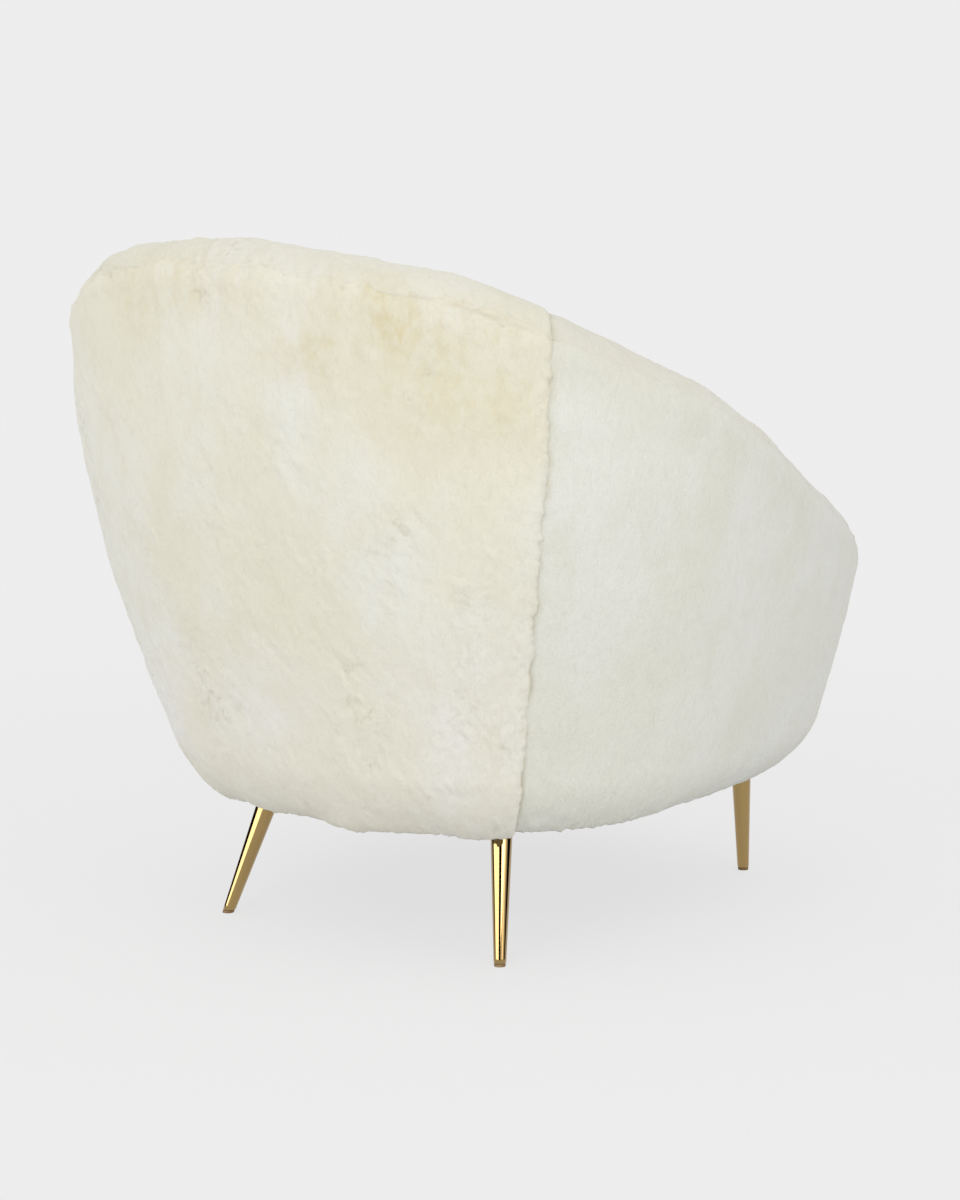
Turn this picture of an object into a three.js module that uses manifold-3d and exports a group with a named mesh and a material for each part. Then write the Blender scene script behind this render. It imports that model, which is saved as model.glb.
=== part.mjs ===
import * as THREE from "three";
import { mergeVertices } from "three/addons/utils/BufferGeometryUtils.js";
import Module from "manifold-3d";

// Upholstered scoop lounge chair on four tapered brass legs, in millimetres, +Z up.
// The origin is on the floor under the middle of the chair, and the chair faces -Y.

const wasm = await Module();
wasm.setup();

// Plan of the shell at its underside: a rounded outline, longer in front than behind
const PLAN_HALF_WIDTH = 311;
const PLAN_REAR_DEPTH = 308.5;
const PLAN_FRONT_DEPTH = 396;
const PLAN_CENTRE_Y = -25.8;
const REAR_ROUNDNESS_SHARE = 2.62;
const FRONT_ROUNDNESS_SHARE = 3.365;

// Heights of the shell
const UNDERSIDE_HEIGHT = 136.3;
const BACK_HEIGHT = 791.7;
const FRONT_HEIGHT = 385.5;
const RIM_FALL_SHARE = 0.762;

// How far the outer face leans out at full height, and how early it does so
const SIDE_FLARE = 135.7;
const REAR_FLARE = 143.7;
const FRONT_FLARE = 7.5;
const SIDE_FLARE_POWER_SHARE = 1.758;
const REAR_FLARE_POWER_SHARE = 1.788;
const FRONT_FLARE_POWER_SHARE = 1.614;

// Rounding of the outer face into the underside, and of the rim
const SIDE_BOTTOM_RADIUS = 76;
const REAR_BOTTOM_RADIUS = 86;
const FRONT_BOTTOM_RADIUS = 73;
const REAR_RIM_RADIUS = 46.8;
const FRONT_RIM_RADIUS = 52.4;

// Inner face: the wall's thickness at the deck, and how far it leans out at full height
const ARM_THICKNESS_AT_DECK = 49;
const ARM_FRONT_THICKNESS = 98;
const BACK_THICKNESS_AT_DECK = 79;
const SIDE_INNER_LEAN = 148;
const REAR_INNER_LEAN = 147;
const FRONT_INNER_LEAN = 100;
const INNER_LEAN_POWER_SHARE = 1.5;
const ARM_NARROWING_SHARE = 1.6;

// Front end of each arm, where the wall thins out and the rim drops
const NOSE_START_DEG = -46;
const NOSE_END_DEG = -56;
const NOSE_DROP = 55.5;
const NOSE_THICKNESS = 36;
const NOSE_PAD_END_DEG = -53;

// Upholstery layers
const GAP = 0.3;
const HIDE = 14;
const RIM_FOAM = 15;
const ARM_FOAM = 28;
const BACK_FOAM = 50;
const UNDER_TUCK = 40;
const DECK_TUCK = 30;
const RIM_SEAM_DEG = 35;
const BACK_SEAM_DEG = 47.5;

// Front border below the seat cushion
const BORDER_RETURN = 60;
const BORDER_RADIUS = 16;

// Timber frame
const RAIL_TOP_RISE = 78.7;
const DECK_BUILD_UP = 60;
const RAIL_INNER_DEPTH = 48;
const RAIL_SPLIT_DEG = 47.5;
const POST_THICKNESS = 18;
const POST_CLEARANCE = 1.2;
const ARM_POST_DEG = 8;
const ARM_FRONT_POST_DEG = -31;
const TOP_RAIL_DROP = 14;
const TOP_RAIL_END_DEG = -38;
const BLOCK_ABOVE_UNDERSIDE = 16.5;
const BLOCK_HEIGHT = 47.2;
const BLOCK_BEHIND_LEG = 30;
const BLOCK_HALF_LENGTH = 34;

// Seat suspension, deck and dust cover
const WEB_WIDTH = 56;
const WEB_PITCH = 68;
const WEB_COUNT = 6;
const WEB_THICKNESS = 2.6;
const WEB_END_DEPTH = 40;
const DECK_CLOTH = 2;
const DUST_CLOTH = 1.4;
const DUST_EDGE_DEPTH = 48.5;

// Legs: a tapered brass spike on a threaded stud that screws into a tee nut. The leg's top is
// at a plan angle and a depth inside the plan.
const REAR_LEG_DEG = 50.9;
const REAR_LEG_DEPTH = 96.9;
const REAR_LEAN_IN_SHARE = 0.214;
const REAR_LEAN_FORWARD_SHARE = 0.328;
const FRONT_LEG_DEG = -51.8;
const FRONT_LEG_DEPTH = 66.2;
const FRONT_LEAN_IN_SHARE = 0.04;
const LEG_INTO_FRAME = 23.7;
const LEG_TOP_RADIUS = 13.4;
const LEG_TIP_RADIUS = 7;
const LEG_EDGE_RADIUS = 1.2;
const GLIDE_HEIGHT = 3;
const GLIDE_RADIUS = 6.4;
const STUD_RADIUS = 4;
const STUD_DEPTH_IN_LEG = 22;
const STUD_ABOVE_LEG = 44;
const NUT_BARREL_RADIUS = 5.6;
const NUT_BARREL_LENGTH = 14;
const NUT_FLANGE_RADIUS = 11;
const NUT_FLANGE = 1.8;
const NUT_ABOVE_LEG = 22;
const THREAD_CLEARANCE = 0.3;

// Loose seat cushion
const CUSHION_CLEARANCE = 1.5;
const CUSHION_SIDE_HEIGHT = 112;
const CUSHION_CROWN = 34;
const CUSHION_EDGE_RADIUS = 36;
const CUSHION_BULGE = 3;
const CUSHION_OVERHANG = 1;
const CUSHION_CORNER_RADIUS = 42;
const CUSHION_DRAW_IN = 7;
const CUSHION_HIDE = 12;
const ZIP_LENGTH = 170;
const ZIP_HEIGHT = 5;
const ZIP_THICKNESS = 4;
const CUT_OVERRUN = 30;

// Counts of steps along curves
const ARC_COUNT = 5;
const FACE_COUNT = 6;
const RIM_COUNT = 2;
const CROWN_COUNT = 3;
const LEVEL_COUNT = 6;
const ROUND_COUNT = 24;
const SMALL_ROUND_COUNT = 14;
const CORNER_COUNT = 4;
const CUSHION_EDGE_COUNT = 3;
const CUSHION_CROWN_SHARES = [0.8, 0.55, 0.3];
const CUSHION_CORE_CROWN_SHARES = [0.55];

// Plan angles at which the shell is worked out; 90 is the back, 0 the sitter's left
const ARM_STATIONS_DEG = [-56, -54.5, -53, -50.5, -48, -46, -41, -35, -28, -20, -10, 0, 10, 20, 29];
const REAR_STATIONS_DEG = [38, 47.5, 57, 67, 78, 90];
const HALF_STATIONS_DEG = [...ARM_STATIONS_DEG, ...REAR_STATIONS_DEG];
const FRONT_STATIONS_DEG = [-124, -116, -107, -98, -90, -82, -73, -64, -56];
const HALF_TURN_DEG = 180;
const FULL_TURN_DEG = 360;
const BACK_DEG = 90;
const FRONT_DEG = -90;
const mirrored = (deg) => HALF_TURN_DEG - deg;
const MIRRORED_STATIONS_DEG = HALF_STATIONS_DEG.slice(0, -1).map(mirrored).reverse();
const SHELL_STATIONS_DEG = [...HALF_STATIONS_DEG, ...MIRRORED_STATIONS_DEG];

const HIDE_BACK = { color: 0xe6e0cf, roughness: 0.95, metalness: 0 };
const HIDE_SIDE = { color: 0xdedcd0, roughness: 0.95, metalness: 0 };
const FOAM = { color: 0xe9e2b8, roughness: 0.9, metalness: 0 };
const TIMBER = { color: 0xb98d5b, roughness: 0.7, metalness: 0 };
const WEBBING = { color: 0x3d3a36, roughness: 0.9, metalness: 0 };
const LINING = { color: 0x2a2928, roughness: 0.95, metalness: 0 };
const BRASS = { color: 0xc79a3e, roughness: 0.2, metalness: 1 };
const STEEL = { color: 0xa8abad, roughness: 0.35, metalness: 1 };
const GLIDE_PLASTIC = { color: 0x86693a, roughness: 0.6, metalness: 0 };

const RAIL_TOP_HEIGHT = UNDERSIDE_HEIGHT + RAIL_TOP_RISE;
const DECK_HEIGHT = RAIL_TOP_HEIGHT + DECK_BUILD_UP;
const BLOCK_BOTTOM_HEIGHT = UNDERSIDE_HEIGHT + BLOCK_ABOVE_UNDERSIDE;
const BLOCK_TOP_HEIGHT = BLOCK_BOTTOM_HEIGHT + BLOCK_HEIGHT;
const LEG_TOP_HEIGHT = UNDERSIDE_HEIGHT + LEG_INTO_FRAME;
const PLAN_REAR_Y = PLAN_CENTRE_Y + PLAN_REAR_DEPTH;
const PLAN_FRONT_Y = PLAN_CENTRE_Y - PLAN_FRONT_DEPTH;

const chair = new THREE.Group();

function toRadians(deg) {
  return THREE.MathUtils.degToRad(deg);
}

function signedPower(value, power) {
  return Math.sign(value) * Math.abs(value) ** power;
}

function lerp(from, to, share) {
  return from + (to - from) * share;
}

// Solids: closed triangle lists, turned to face out, and cut or joined where needed

function signedVolume(points, triangles) {
  let volume = 0;
  for (const [a, b, c] of triangles) {
    volume += points[a].dot(points[b].clone().cross(points[c]));
  }
  return volume / 6;
}

function closedGeometry(points, triangles) {
  const outward = signedVolume(points, triangles) > 0;
  const ordered = outward ? triangles : triangles.map(([a, b, c]) => [a, c, b]);
  const geometry = new THREE.BufferGeometry().setFromPoints(points);
  geometry.setIndex(ordered.flat());
  return geometry;
}

function solidFrom(geometry) {
  const bare = geometry.index ? geometry.clone() : geometry;
  bare.deleteAttribute("normal");
  bare.deleteAttribute("uv");
  const merged = mergeVertices(bare);
  const vertProperties = new Float32Array(merged.attributes.position.array);
  const triVerts = new Uint32Array(merged.index.array);
  return new wasm.Manifold(new wasm.Mesh({ numProp: 3, vertProperties, triVerts }));
}

function geometryFrom(solid) {
  const mesh = solid.getMesh();
  const geometry = new THREE.BufferGeometry();
  geometry.setAttribute("position", new THREE.BufferAttribute(mesh.vertProperties, mesh.numProp));
  geometry.setIndex(new THREE.BufferAttribute(mesh.triVerts, 1));
  return geometry;
}

function addPiece(name, geometry, finish) {
  const drawn = geometry.index ? geometry.toNonIndexed() : geometry;
  drawn.computeVertexNormals();
  const mesh = new THREE.Mesh(drawn, new THREE.MeshStandardMaterial(finish));
  mesh.name = name;
  chair.add(mesh);
  return mesh;
}

// Joins a row of equal-sized rings of points into one closed solid with ruled ends.
// Past the turn a ring runs backwards, and there its faces are split the other way, so that
// the two skins of neighbouring layers fold alike.
function loftRings(rings, turn, endOutlines) {
  const size = rings[0].length;
  const points = rings.flat();
  const triangles = [];
  for (let ring = 0; ring < rings.length - 1; ring += 1) {
    for (let i = 0; i < size; i += 1) {
      const next = (i + 1) % size;
      const low = ring * size;
      const high = low + size;
      if (i < turn) {
        triangles.push([low + i, low + next, high + next]);
        triangles.push([low + i, high + next, high + i]);
      } else {
        triangles.push([low + i, low + next, high + i]);
        triangles.push([low + next, high + next, high + i]);
      }
    }
  }
  const lastRing = (rings.length - 1) * size;
  const [firstOutline, lastOutline] = endOutlines;
  const firstCap = THREE.ShapeUtils.triangulateShape(firstOutline, []);
  const lastCap = THREE.ShapeUtils.triangulateShape(lastOutline, []);
  const firstIsCcw = THREE.ShapeUtils.area(firstOutline) > 0;
  const lastIsCcw = THREE.ShapeUtils.area(lastOutline) > 0;
  for (const [a, b, c] of firstCap) {
    triangles.push(firstIsCcw ? [a, c, b] : [a, b, c]);
  }
  for (const [a, b, c] of lastCap) {
    const face = lastIsCcw ? [a, b, c] : [a, c, b];
    triangles.push(face.map((i) => i + lastRing));
  }
  return closedGeometry(points, triangles);
}

// The shell's outer form: at each plan angle, a vertical section along the outward direction

function planPoint(deg) {
  const across = Math.cos(toRadians(deg));
  const along = Math.sin(toRadians(deg));
  const power = along > 0 ? REAR_ROUNDNESS_SHARE : FRONT_ROUNDNESS_SHARE;
  const depth = along > 0 ? PLAN_REAR_DEPTH : PLAN_FRONT_DEPTH;
  const ux = signedPower(across, 2 / power);
  const uy = signedPower(along, 2 / power);
  const slopeX = signedPower(ux, power - 1) / PLAN_HALF_WIDTH;
  const slopeY = signedPower(uy, power - 1) / depth;
  const length = Math.hypot(slopeX, slopeY);
  return {
    x: PLAN_HALF_WIDTH * ux,
    y: PLAN_CENTRE_Y + depth * uy,
    nx: slopeX / length,
    ny: slopeY / length,
  };
}

function byDirection(plan, side, rear, front) {
  const end = plan.ny > 0 ? rear : front;
  return side * plan.nx ** 2 + end * plan.ny ** 2;
}

// How far forward a plan point is, from 0 at the back to 1 at the front
function forwardShare(plan) {
  return THREE.MathUtils.clamp((PLAN_REAR_Y - plan.y) / (PLAN_REAR_Y - PLAN_FRONT_Y), 0, 1);
}

function rimHeight(plan) {
  return lerp(BACK_HEIGHT, FRONT_HEIGHT, forwardShare(plan) ** RIM_FALL_SHARE);
}

function noseShare(deg) {
  const fromFront = deg > BACK_DEG ? mirrored(deg) : deg;
  const share = (NOSE_START_DEG - fromFront) / (NOSE_START_DEG - NOSE_END_DEG);
  return THREE.MathUtils.clamp(share, 0, 1);
}

function wallAt(deg) {
  const plan = planPoint(deg);
  const wall = { plan };
  wall.flare = byDirection(plan, SIDE_FLARE, REAR_FLARE, FRONT_FLARE);
  wall.flarePower = byDirection(
    plan,
    SIDE_FLARE_POWER_SHARE,
    REAR_FLARE_POWER_SHARE,
    FRONT_FLARE_POWER_SHARE,
  );
  wall.bottomRadius = byDirection(plan, SIDE_BOTTOM_RADIUS, REAR_BOTTOM_RADIUS, FRONT_BOTTOM_RADIUS);
  wall.lean = byDirection(plan, SIDE_INNER_LEAN, REAR_INNER_LEAN, FRONT_INNER_LEAN);
  const drop = 1 - Math.sqrt(1 - noseShare(deg) ** 2);
  wall.height = lerp(rimHeight(plan), FRONT_HEIGHT - NOSE_DROP, drop);
  wall.inset = insetAt(wall);
  const thickness = outAt(wall, wall.height) - innerAt(wall, wall.height - REAR_RIM_RADIUS);
  const fullRim = lerp(REAR_RIM_RADIUS, FRONT_RIM_RADIUS, forwardShare(plan));
  wall.rim = Math.min(fullRim, thickness / 2);
  return wall;
}

// Distance out from the plan point to the outer face at a height
function outAt(wall, z) {
  const share = THREE.MathUtils.clamp((z - UNDERSIDE_HEIGHT) / (BACK_HEIGHT - UNDERSIDE_HEIGHT), 0, 1);
  return wall.flare * (1 - (1 - share) ** wall.flarePower);
}

// Distance in from the plan point to the inner face at the deck
function insetAt(wall) {
  const { plan } = wall;
  if (plan.ny > 0) {
    return ARM_THICKNESS_AT_DECK * plan.nx ** 2 + BACK_THICKNESS_AT_DECK * plan.ny ** 2;
  }
  const forward = (PLAN_CENTRE_Y - plan.y) / PLAN_FRONT_DEPTH;
  const thickness = lerp(ARM_THICKNESS_AT_DECK, ARM_FRONT_THICKNESS, forward ** ARM_NARROWING_SHARE);
  const inset = (Math.abs(plan.x) - PLAN_HALF_WIDTH + thickness) / Math.abs(plan.nx);
  return Math.max(inset, NOSE_THICKNESS - outAt(wall, DECK_HEIGHT - DECK_TUCK));
}

// Distance out from the plan point to the inner face at a height
function innerAt(wall, z) {
  const share = THREE.MathUtils.clamp((z - DECK_HEIGHT) / (BACK_HEIGHT - DECK_HEIGHT), 0, 1);
  return wall.lean * share ** INNER_LEAN_POWER_SHARE - wall.inset;
}

function placed(plan, out, z) {
  return new THREE.Vector3(plan.x + plan.nx * out, plan.y + plan.ny * out, z);
}

function insidePoint(deg, depth) {
  const plan = planPoint(deg);
  return new THREE.Vector2(plan.x - plan.nx * depth, plan.y - plan.ny * depth);
}

function underArc(wall) {
  const startAngle = Math.asin(1 - UNDER_TUCK / wall.bottomRadius);
  const points = [];
  for (let i = 0; i <= ARC_COUNT; i += 1) {
    const angle = lerp(startAngle, Math.PI / 2, i / ARC_COUNT);
    const z = UNDERSIDE_HEIGHT + wall.bottomRadius * (1 - Math.cos(angle));
    points.push(new THREE.Vector2(outAt(wall, z) - wall.bottomRadius * (1 - Math.sin(angle)), z));
  }
  return points;
}

// Whole section outline of the wall: up the outer face, over the rim and down the inner face.
// seam is the index of the last point on the outer cover's side of the rim seam.
function wallOutline(wall) {
  const points = underArc(wall);
  const faceStart = UNDERSIDE_HEIGHT + wall.bottomRadius;
  const faceEnd = wall.height - wall.rim;
  for (let i = 1; i <= FACE_COUNT; i += 1) {
    const z = lerp(faceStart, faceEnd, i / FACE_COUNT);
    points.push(new THREE.Vector2(outAt(wall, z), z));
  }
  const seamAngle = toRadians(RIM_SEAM_DEG);
  const rimPoint = (angle) => {
    const z = faceEnd + wall.rim * Math.sin(angle);
    return new THREE.Vector2(outAt(wall, z) - wall.rim * (1 - Math.cos(angle)), z);
  };
  for (let i = 1; i <= RIM_COUNT; i += 1) {
    points.push(rimPoint((seamAngle * i) / RIM_COUNT));
  }
  const seam = points.length - 1;
  const restart = seamAngle + (2 * GAP) / wall.rim;
  for (let i = 0; i <= CROWN_COUNT; i += 1) {
    points.push(rimPoint(lerp(restart, Math.PI / 2, i / CROWN_COUNT)));
  }
  const crown = points[points.length - 1];
  const faceTop = innerAt(wall, faceEnd);
  for (let i = 1; i <= CROWN_COUNT; i += 1) {
    const angle = ((Math.PI / 2) * i) / CROWN_COUNT;
    const out = lerp(crown.x, faceTop, Math.sin(angle));
    points.push(new THREE.Vector2(out, wall.height - wall.rim * (1 - Math.cos(angle))));
  }
  const innerTop = points.length - 1;
  const innerEnd = DECK_HEIGHT - DECK_TUCK;
  for (let i = 1; i <= FACE_COUNT; i += 1) {
    const z = lerp(faceEnd, innerEnd, i / FACE_COUNT);
    points.push(new THREE.Vector2(innerAt(wall, z), z));
  }
  return { points, seam, innerTop };
}

// Section outline of the low front border: up the face, over its edge and back along the top
function borderOutline(wall) {
  const points = underArc(wall);
  const faceEnd = DECK_HEIGHT - BORDER_RADIUS;
  points.push(new THREE.Vector2(outAt(wall, faceEnd), faceEnd));
  for (let i = 1; i <= CROWN_COUNT; i += 1) {
    const angle = ((Math.PI / 2) * i) / CROWN_COUNT;
    const out = outAt(wall, faceEnd) - BORDER_RADIUS * (1 - Math.cos(angle));
    points.push(new THREE.Vector2(out, faceEnd + BORDER_RADIUS * Math.sin(angle)));
  }
  points.push(new THREE.Vector2(-BORDER_RETURN, DECK_HEIGHT));
  return points;
}

// Moves each point of an outline into the upholstery by its own depth, square to the outline
function offsetInward(points, depthAt) {
  const last = points.length - 1;
  return points.map((point, i) => {
    const arriving = i > 0 ? point.clone().sub(points[i - 1]) : points[1].clone().sub(point);
    const leaving = i < last ? points[i + 1].clone().sub(point) : arriving.clone();
    const ratio = leaving.length() / arriving.length();
    const along = arriving.multiplyScalar(ratio).addScaledVector(leaving, 1 / ratio).normalize();
    const inward = new THREE.Vector2(-along.y, along.x);
    return point.clone().addScaledVector(inward, depthAt(i));
  });
}

// Where a rising or falling line of points meets a height
function crossing(line, z) {
  for (let i = 0; i < line.length - 1; i += 1) {
    const a = line[i];
    const b = line[i + 1];
    if ((a.y - z) * (b.y - z) <= 0 && a.y !== b.y) return lerp(a.x, b.x, (z - a.y) / (b.y - a.y));
  }
  return Math.abs(line[0].y - z) < Math.abs(line[line.length - 1].y - z)
    ? line[0].x
    : line[line.length - 1].x;
}

function levels(line, from, to) {
  const points = [];
  for (let i = 0; i <= LEVEL_COUNT; i += 1) {
    const z = lerp(from, to, i / LEVEL_COUNT);
    points.push(new THREE.Vector2(crossing(line, z), z));
  }
  return points;
}

// Runs a section along the plan from one angle to another, through the stations between.
// A section is an outgoing line of points and a line beside it that is followed back.
function loftAlongPlan(sectionAt, fromDeg, toDeg, stations) {
  const outlineAt = (deg) => {
    const [outgoing, beside] = sectionAt(deg);
    return [...outgoing, ...[...beside].reverse()];
  };
  const turn = sectionAt(fromDeg)[0].length;
  const ringAtStation = (deg) => outlineAt(deg).map((point) => placed(planPoint(deg), point.x, point.y));
  const ringAt = (deg) => {
    const after = stations.findIndex((station) => station >= deg);
    if (stations[after] === deg) return ringAtStation(deg);
    const share = (deg - stations[after - 1]) / (stations[after] - stations[after - 1]);
    const low = ringAtStation(stations[after - 1]);
    const high = ringAtStation(stations[after]);
    return low.map((point, i) => point.clone().lerp(high[i], share));
  };
  const between = stations.filter((station) => station > fromDeg && station < toDeg);
  const rings = [fromDeg, ...between, toDeg].map(ringAt);
  return loftRings(rings, turn, [outlineAt(fromDeg), outlineAt(toDeg)]);
}

function degreesFor(length, deg) {
  const here = planPoint(deg);
  const beyond = planPoint(deg + 1);
  return length / Math.hypot(beyond.x - here.x, beyond.y - here.y);
}

// Sections of each layer

function strip(points, from, to) {
  const part = points.slice(from, to + 1);
  const inner = offsetInward(points, () => HIDE).slice(from, to + 1);
  return [part, inner];
}

function outerCoverSection(deg) {
  const { points, seam } = wallOutline(wallAt(deg));
  return strip(points, 0, seam);
}

function innerCoverSection(deg) {
  const { points, seam } = wallOutline(wallAt(deg));
  return strip(points, seam + 1, points.length - 1);
}

function borderCoverSection(deg) {
  const points = borderOutline(wallAt(deg));
  return strip(points, 0, points.length - 1);
}

function foamDepths(wall, outline) {
  const face = byDirection(wall.plan, ARM_FOAM, BACK_FOAM, ARM_FOAM);
  return (i) => {
    const share = THREE.MathUtils.clamp((i - outline.innerTop) / (FACE_COUNT / 2), 0, 1);
    return lerp(RIM_FOAM, face, share);
  };
}

const FOAM_BOTTOM_HEIGHT = RAIL_TOP_HEIGHT + WEB_THICKNESS + 2 * GAP;

// Inner cover's back, carried straight down to the height where the foam stands on the frame
function foamFront(outline, depth) {
  const line = offsetInward(outline.points, () => depth).slice(outline.seam + 1);
  const last = line[line.length - 1];
  line.push(new THREE.Vector2(last.x, FOAM_BOTTOM_HEIGHT));
  return line;
}

function foamBack(wall, outline, extra, bottom) {
  const depth = foamDepths(wall, outline);
  const line = offsetInward(outline.points, (i) => HIDE + GAP + depth(i) + extra).slice(outline.seam + 1);
  const last = line[line.length - 1];
  line.push(new THREE.Vector2(last.x, bottom));
  const coverBack = offsetInward(outline.points, () => HIDE + 2 * GAP).slice(0, outline.seam);
  const start = outline.innerTop - outline.seam;
  for (const point of line.slice(start)) {
    point.x = Math.min(point.x, crossing(coverBack, point.y) - GAP);
  }
  return line;
}

function foamSection(deg) {
  const wall = wallAt(deg);
  const outline = wallOutline(wall);
  return [foamFront(outline, HIDE + GAP), foamBack(wall, outline, 0, FOAM_BOTTOM_HEIGHT)];
}

function nosePadSection(deg) {
  const wall = wallAt(deg);
  const { points, seam } = wallOutline(wall);
  const inside = offsetInward(points, () => HIDE + GAP);
  const rising = levels(inside.slice(0, seam), FOAM_BOTTOM_HEIGHT, wall.height - wall.rim);
  const falling = inside.slice(seam + 2);
  const last = falling[falling.length - 1];
  return [[...rising, ...falling, new THREE.Vector2(last.x, FOAM_BOTTOM_HEIGHT)], []];
}

function topRailBottom(wall) {
  return wall.height - wall.rim - TOP_RAIL_DROP;
}

function topRailSection(deg) {
  const wall = wallAt(deg);
  const outline = wallOutline(wall);
  const depth = HIDE + RIM_FOAM + 3 * GAP;
  const inside = offsetInward(outline.points, () => depth);
  const arch = inside.slice(outline.seam - RIM_COUNT, outline.innerTop + 1);
  const first = arch[0];
  const last = arch[arch.length - 1];
  const bottom = topRailBottom(wall);
  return [[new THREE.Vector2(first.x, bottom), ...arch, new THREE.Vector2(last.x, bottom)], []];
}

function postSection(deg) {
  const wall = wallAt(deg);
  const outline = wallOutline(wall);
  const bottom = RAIL_TOP_HEIGHT + GAP;
  const top = topRailBottom(wall) - POST_CLEARANCE;
  const behindCover = offsetInward(outline.points, () => HIDE + POST_CLEARANCE).slice(0, outline.seam);
  const behindFoam = foamBack(wall, outline, POST_CLEARANCE, bottom);
  return [levels(behindCover, bottom, top), levels(behindFoam, bottom, top)];
}

function seatRailSection(deg) {
  const wall = wallAt(deg);
  const arc = underArc(wall);
  const top = wall.height - wall.rim;
  arc.push(new THREE.Vector2(outAt(wall, top), top));
  const inside = offsetInward(arc, () => HIDE + GAP);
  const low = inside[0];
  const innerFace = [
    new THREE.Vector2(-RAIL_INNER_DEPTH, low.y),
    new THREE.Vector2(-RAIL_INNER_DEPTH, RAIL_TOP_HEIGHT),
  ];
  return [levels(inside, low.y, RAIL_TOP_HEIGHT), innerFace];
}

function frontEdgeFoamSection(deg) {
  const inside = offsetInward(borderOutline(wallAt(deg)), () => HIDE + GAP);
  const faceEnd = inside.length - 2 - CROWN_COUNT;
  const base = new THREE.Vector2(crossing(inside, FOAM_BOTTOM_HEIGHT), FOAM_BOTTOM_HEIGHT);
  return [[base, ...inside.slice(faceEnd)], [new THREE.Vector2(-BORDER_RETURN, FOAM_BOTTOM_HEIGHT)]];
}

function cornerBlockSection(innerDepth) {
  const face = (out) => [
    new THREE.Vector2(out, BLOCK_BOTTOM_HEIGHT),
    new THREE.Vector2(out, BLOCK_TOP_HEIGHT),
  ];
  return [face(-RAIL_INNER_DEPTH - GAP), face(-innerDepth)];
}

// Hide covers: each panel stops half a gap short of the seam on both sides

const LEFT_END_DEG = NOSE_END_DEG;
const RIGHT_END_DEG = mirrored(NOSE_END_DEG);
const RIGHT_SEAM_DEG = mirrored(BACK_SEAM_DEG);
const SEAM_HALF_DEG = degreesFor(GAP, BACK_SEAM_DEG);

function addPanel(name, sectionAt, fromDeg, toDeg, finish) {
  const from = fromDeg + (fromDeg === LEFT_END_DEG ? 0 : SEAM_HALF_DEG);
  const to = toDeg - (toDeg === RIGHT_END_DEG ? 0 : SEAM_HALF_DEG);
  addPiece(name, loftAlongPlan(sectionAt, from, to, SHELL_STATIONS_DEG), finish);
}

function addCovers() {
  addPanel("outer_left_cover", outerCoverSection, LEFT_END_DEG, BACK_SEAM_DEG, HIDE_SIDE);
  addPanel("outer_back_cover", outerCoverSection, BACK_SEAM_DEG, RIGHT_SEAM_DEG, HIDE_BACK);
  addPanel("outer_right_cover", outerCoverSection, RIGHT_SEAM_DEG, RIGHT_END_DEG, HIDE_SIDE);
  addPanel("inner_left_cover", innerCoverSection, LEFT_END_DEG, BACK_SEAM_DEG, HIDE_BACK);
  addPanel("inner_back_cover", innerCoverSection, BACK_SEAM_DEG, RIGHT_SEAM_DEG, HIDE_BACK);
  addPanel("inner_right_cover", innerCoverSection, RIGHT_SEAM_DEG, RIGHT_END_DEG, HIDE_BACK);
  const from = mirrored(NOSE_END_DEG) - FULL_TURN_DEG + SEAM_HALF_DEG;
  const to = NOSE_END_DEG - SEAM_HALF_DEG;
  addPiece("front_border_cover", loftAlongPlan(borderCoverSection, from, to, FRONT_STATIONS_DEG), HIDE_SIDE);
  addPiece("front_edge_foam", loftAlongPlan(frontEdgeFoamSection, from, to, FRONT_STATIONS_DEG), FOAM);
}

function addFoams() {
  const split = SEAM_HALF_DEG;
  const add = (name, sectionAt, from, to) => {
    addPiece(name, loftAlongPlan(sectionAt, from, to, SHELL_STATIONS_DEG), FOAM);
  };
  add("left_arm_foam", foamSection, NOSE_START_DEG + split, BACK_SEAM_DEG - split);
  add("back_foam", foamSection, BACK_SEAM_DEG + split, RIGHT_SEAM_DEG - split);
  add("right_arm_foam", foamSection, RIGHT_SEAM_DEG + split, mirrored(NOSE_START_DEG) - split);
  add("left_arm_front_pad", nosePadSection, NOSE_PAD_END_DEG, NOSE_START_DEG - split);
  add("right_arm_front_pad", nosePadSection, mirrored(NOSE_START_DEG) + split, mirrored(NOSE_PAD_END_DEG));
}

function addTopRails() {
  const add = (name, from, to) => {
    addPiece(name, loftAlongPlan(topRailSection, from, to, SHELL_STATIONS_DEG), TIMBER);
  };
  add("left_arm_top_rail", TOP_RAIL_END_DEG, BACK_SEAM_DEG - SEAM_HALF_DEG);
  add("back_top_rail", BACK_SEAM_DEG + SEAM_HALF_DEG, RIGHT_SEAM_DEG - SEAM_HALF_DEG);
  add("right_arm_top_rail", RIGHT_SEAM_DEG + SEAM_HALF_DEG, mirrored(TOP_RAIL_END_DEG));
}

function addPosts() {
  const posts = {
    left_arm_front_post: ARM_FRONT_POST_DEG,
    left_arm_post: ARM_POST_DEG,
    left_back_post: BACK_SEAM_DEG,
    centre_back_post: BACK_DEG,
    right_back_post: RIGHT_SEAM_DEG,
    right_arm_post: mirrored(ARM_POST_DEG),
    right_arm_front_post: mirrored(ARM_FRONT_POST_DEG),
  };
  for (const [name, deg] of Object.entries(posts)) {
    const half = degreesFor(POST_THICKNESS / 2, deg);
    addPiece(name, loftAlongPlan(postSection, deg - half, deg + half, SHELL_STATIONS_DEG), TIMBER);
  }
}

// Seat frame: four shaped rails round the plan, joined inside by corner blocks

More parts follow.
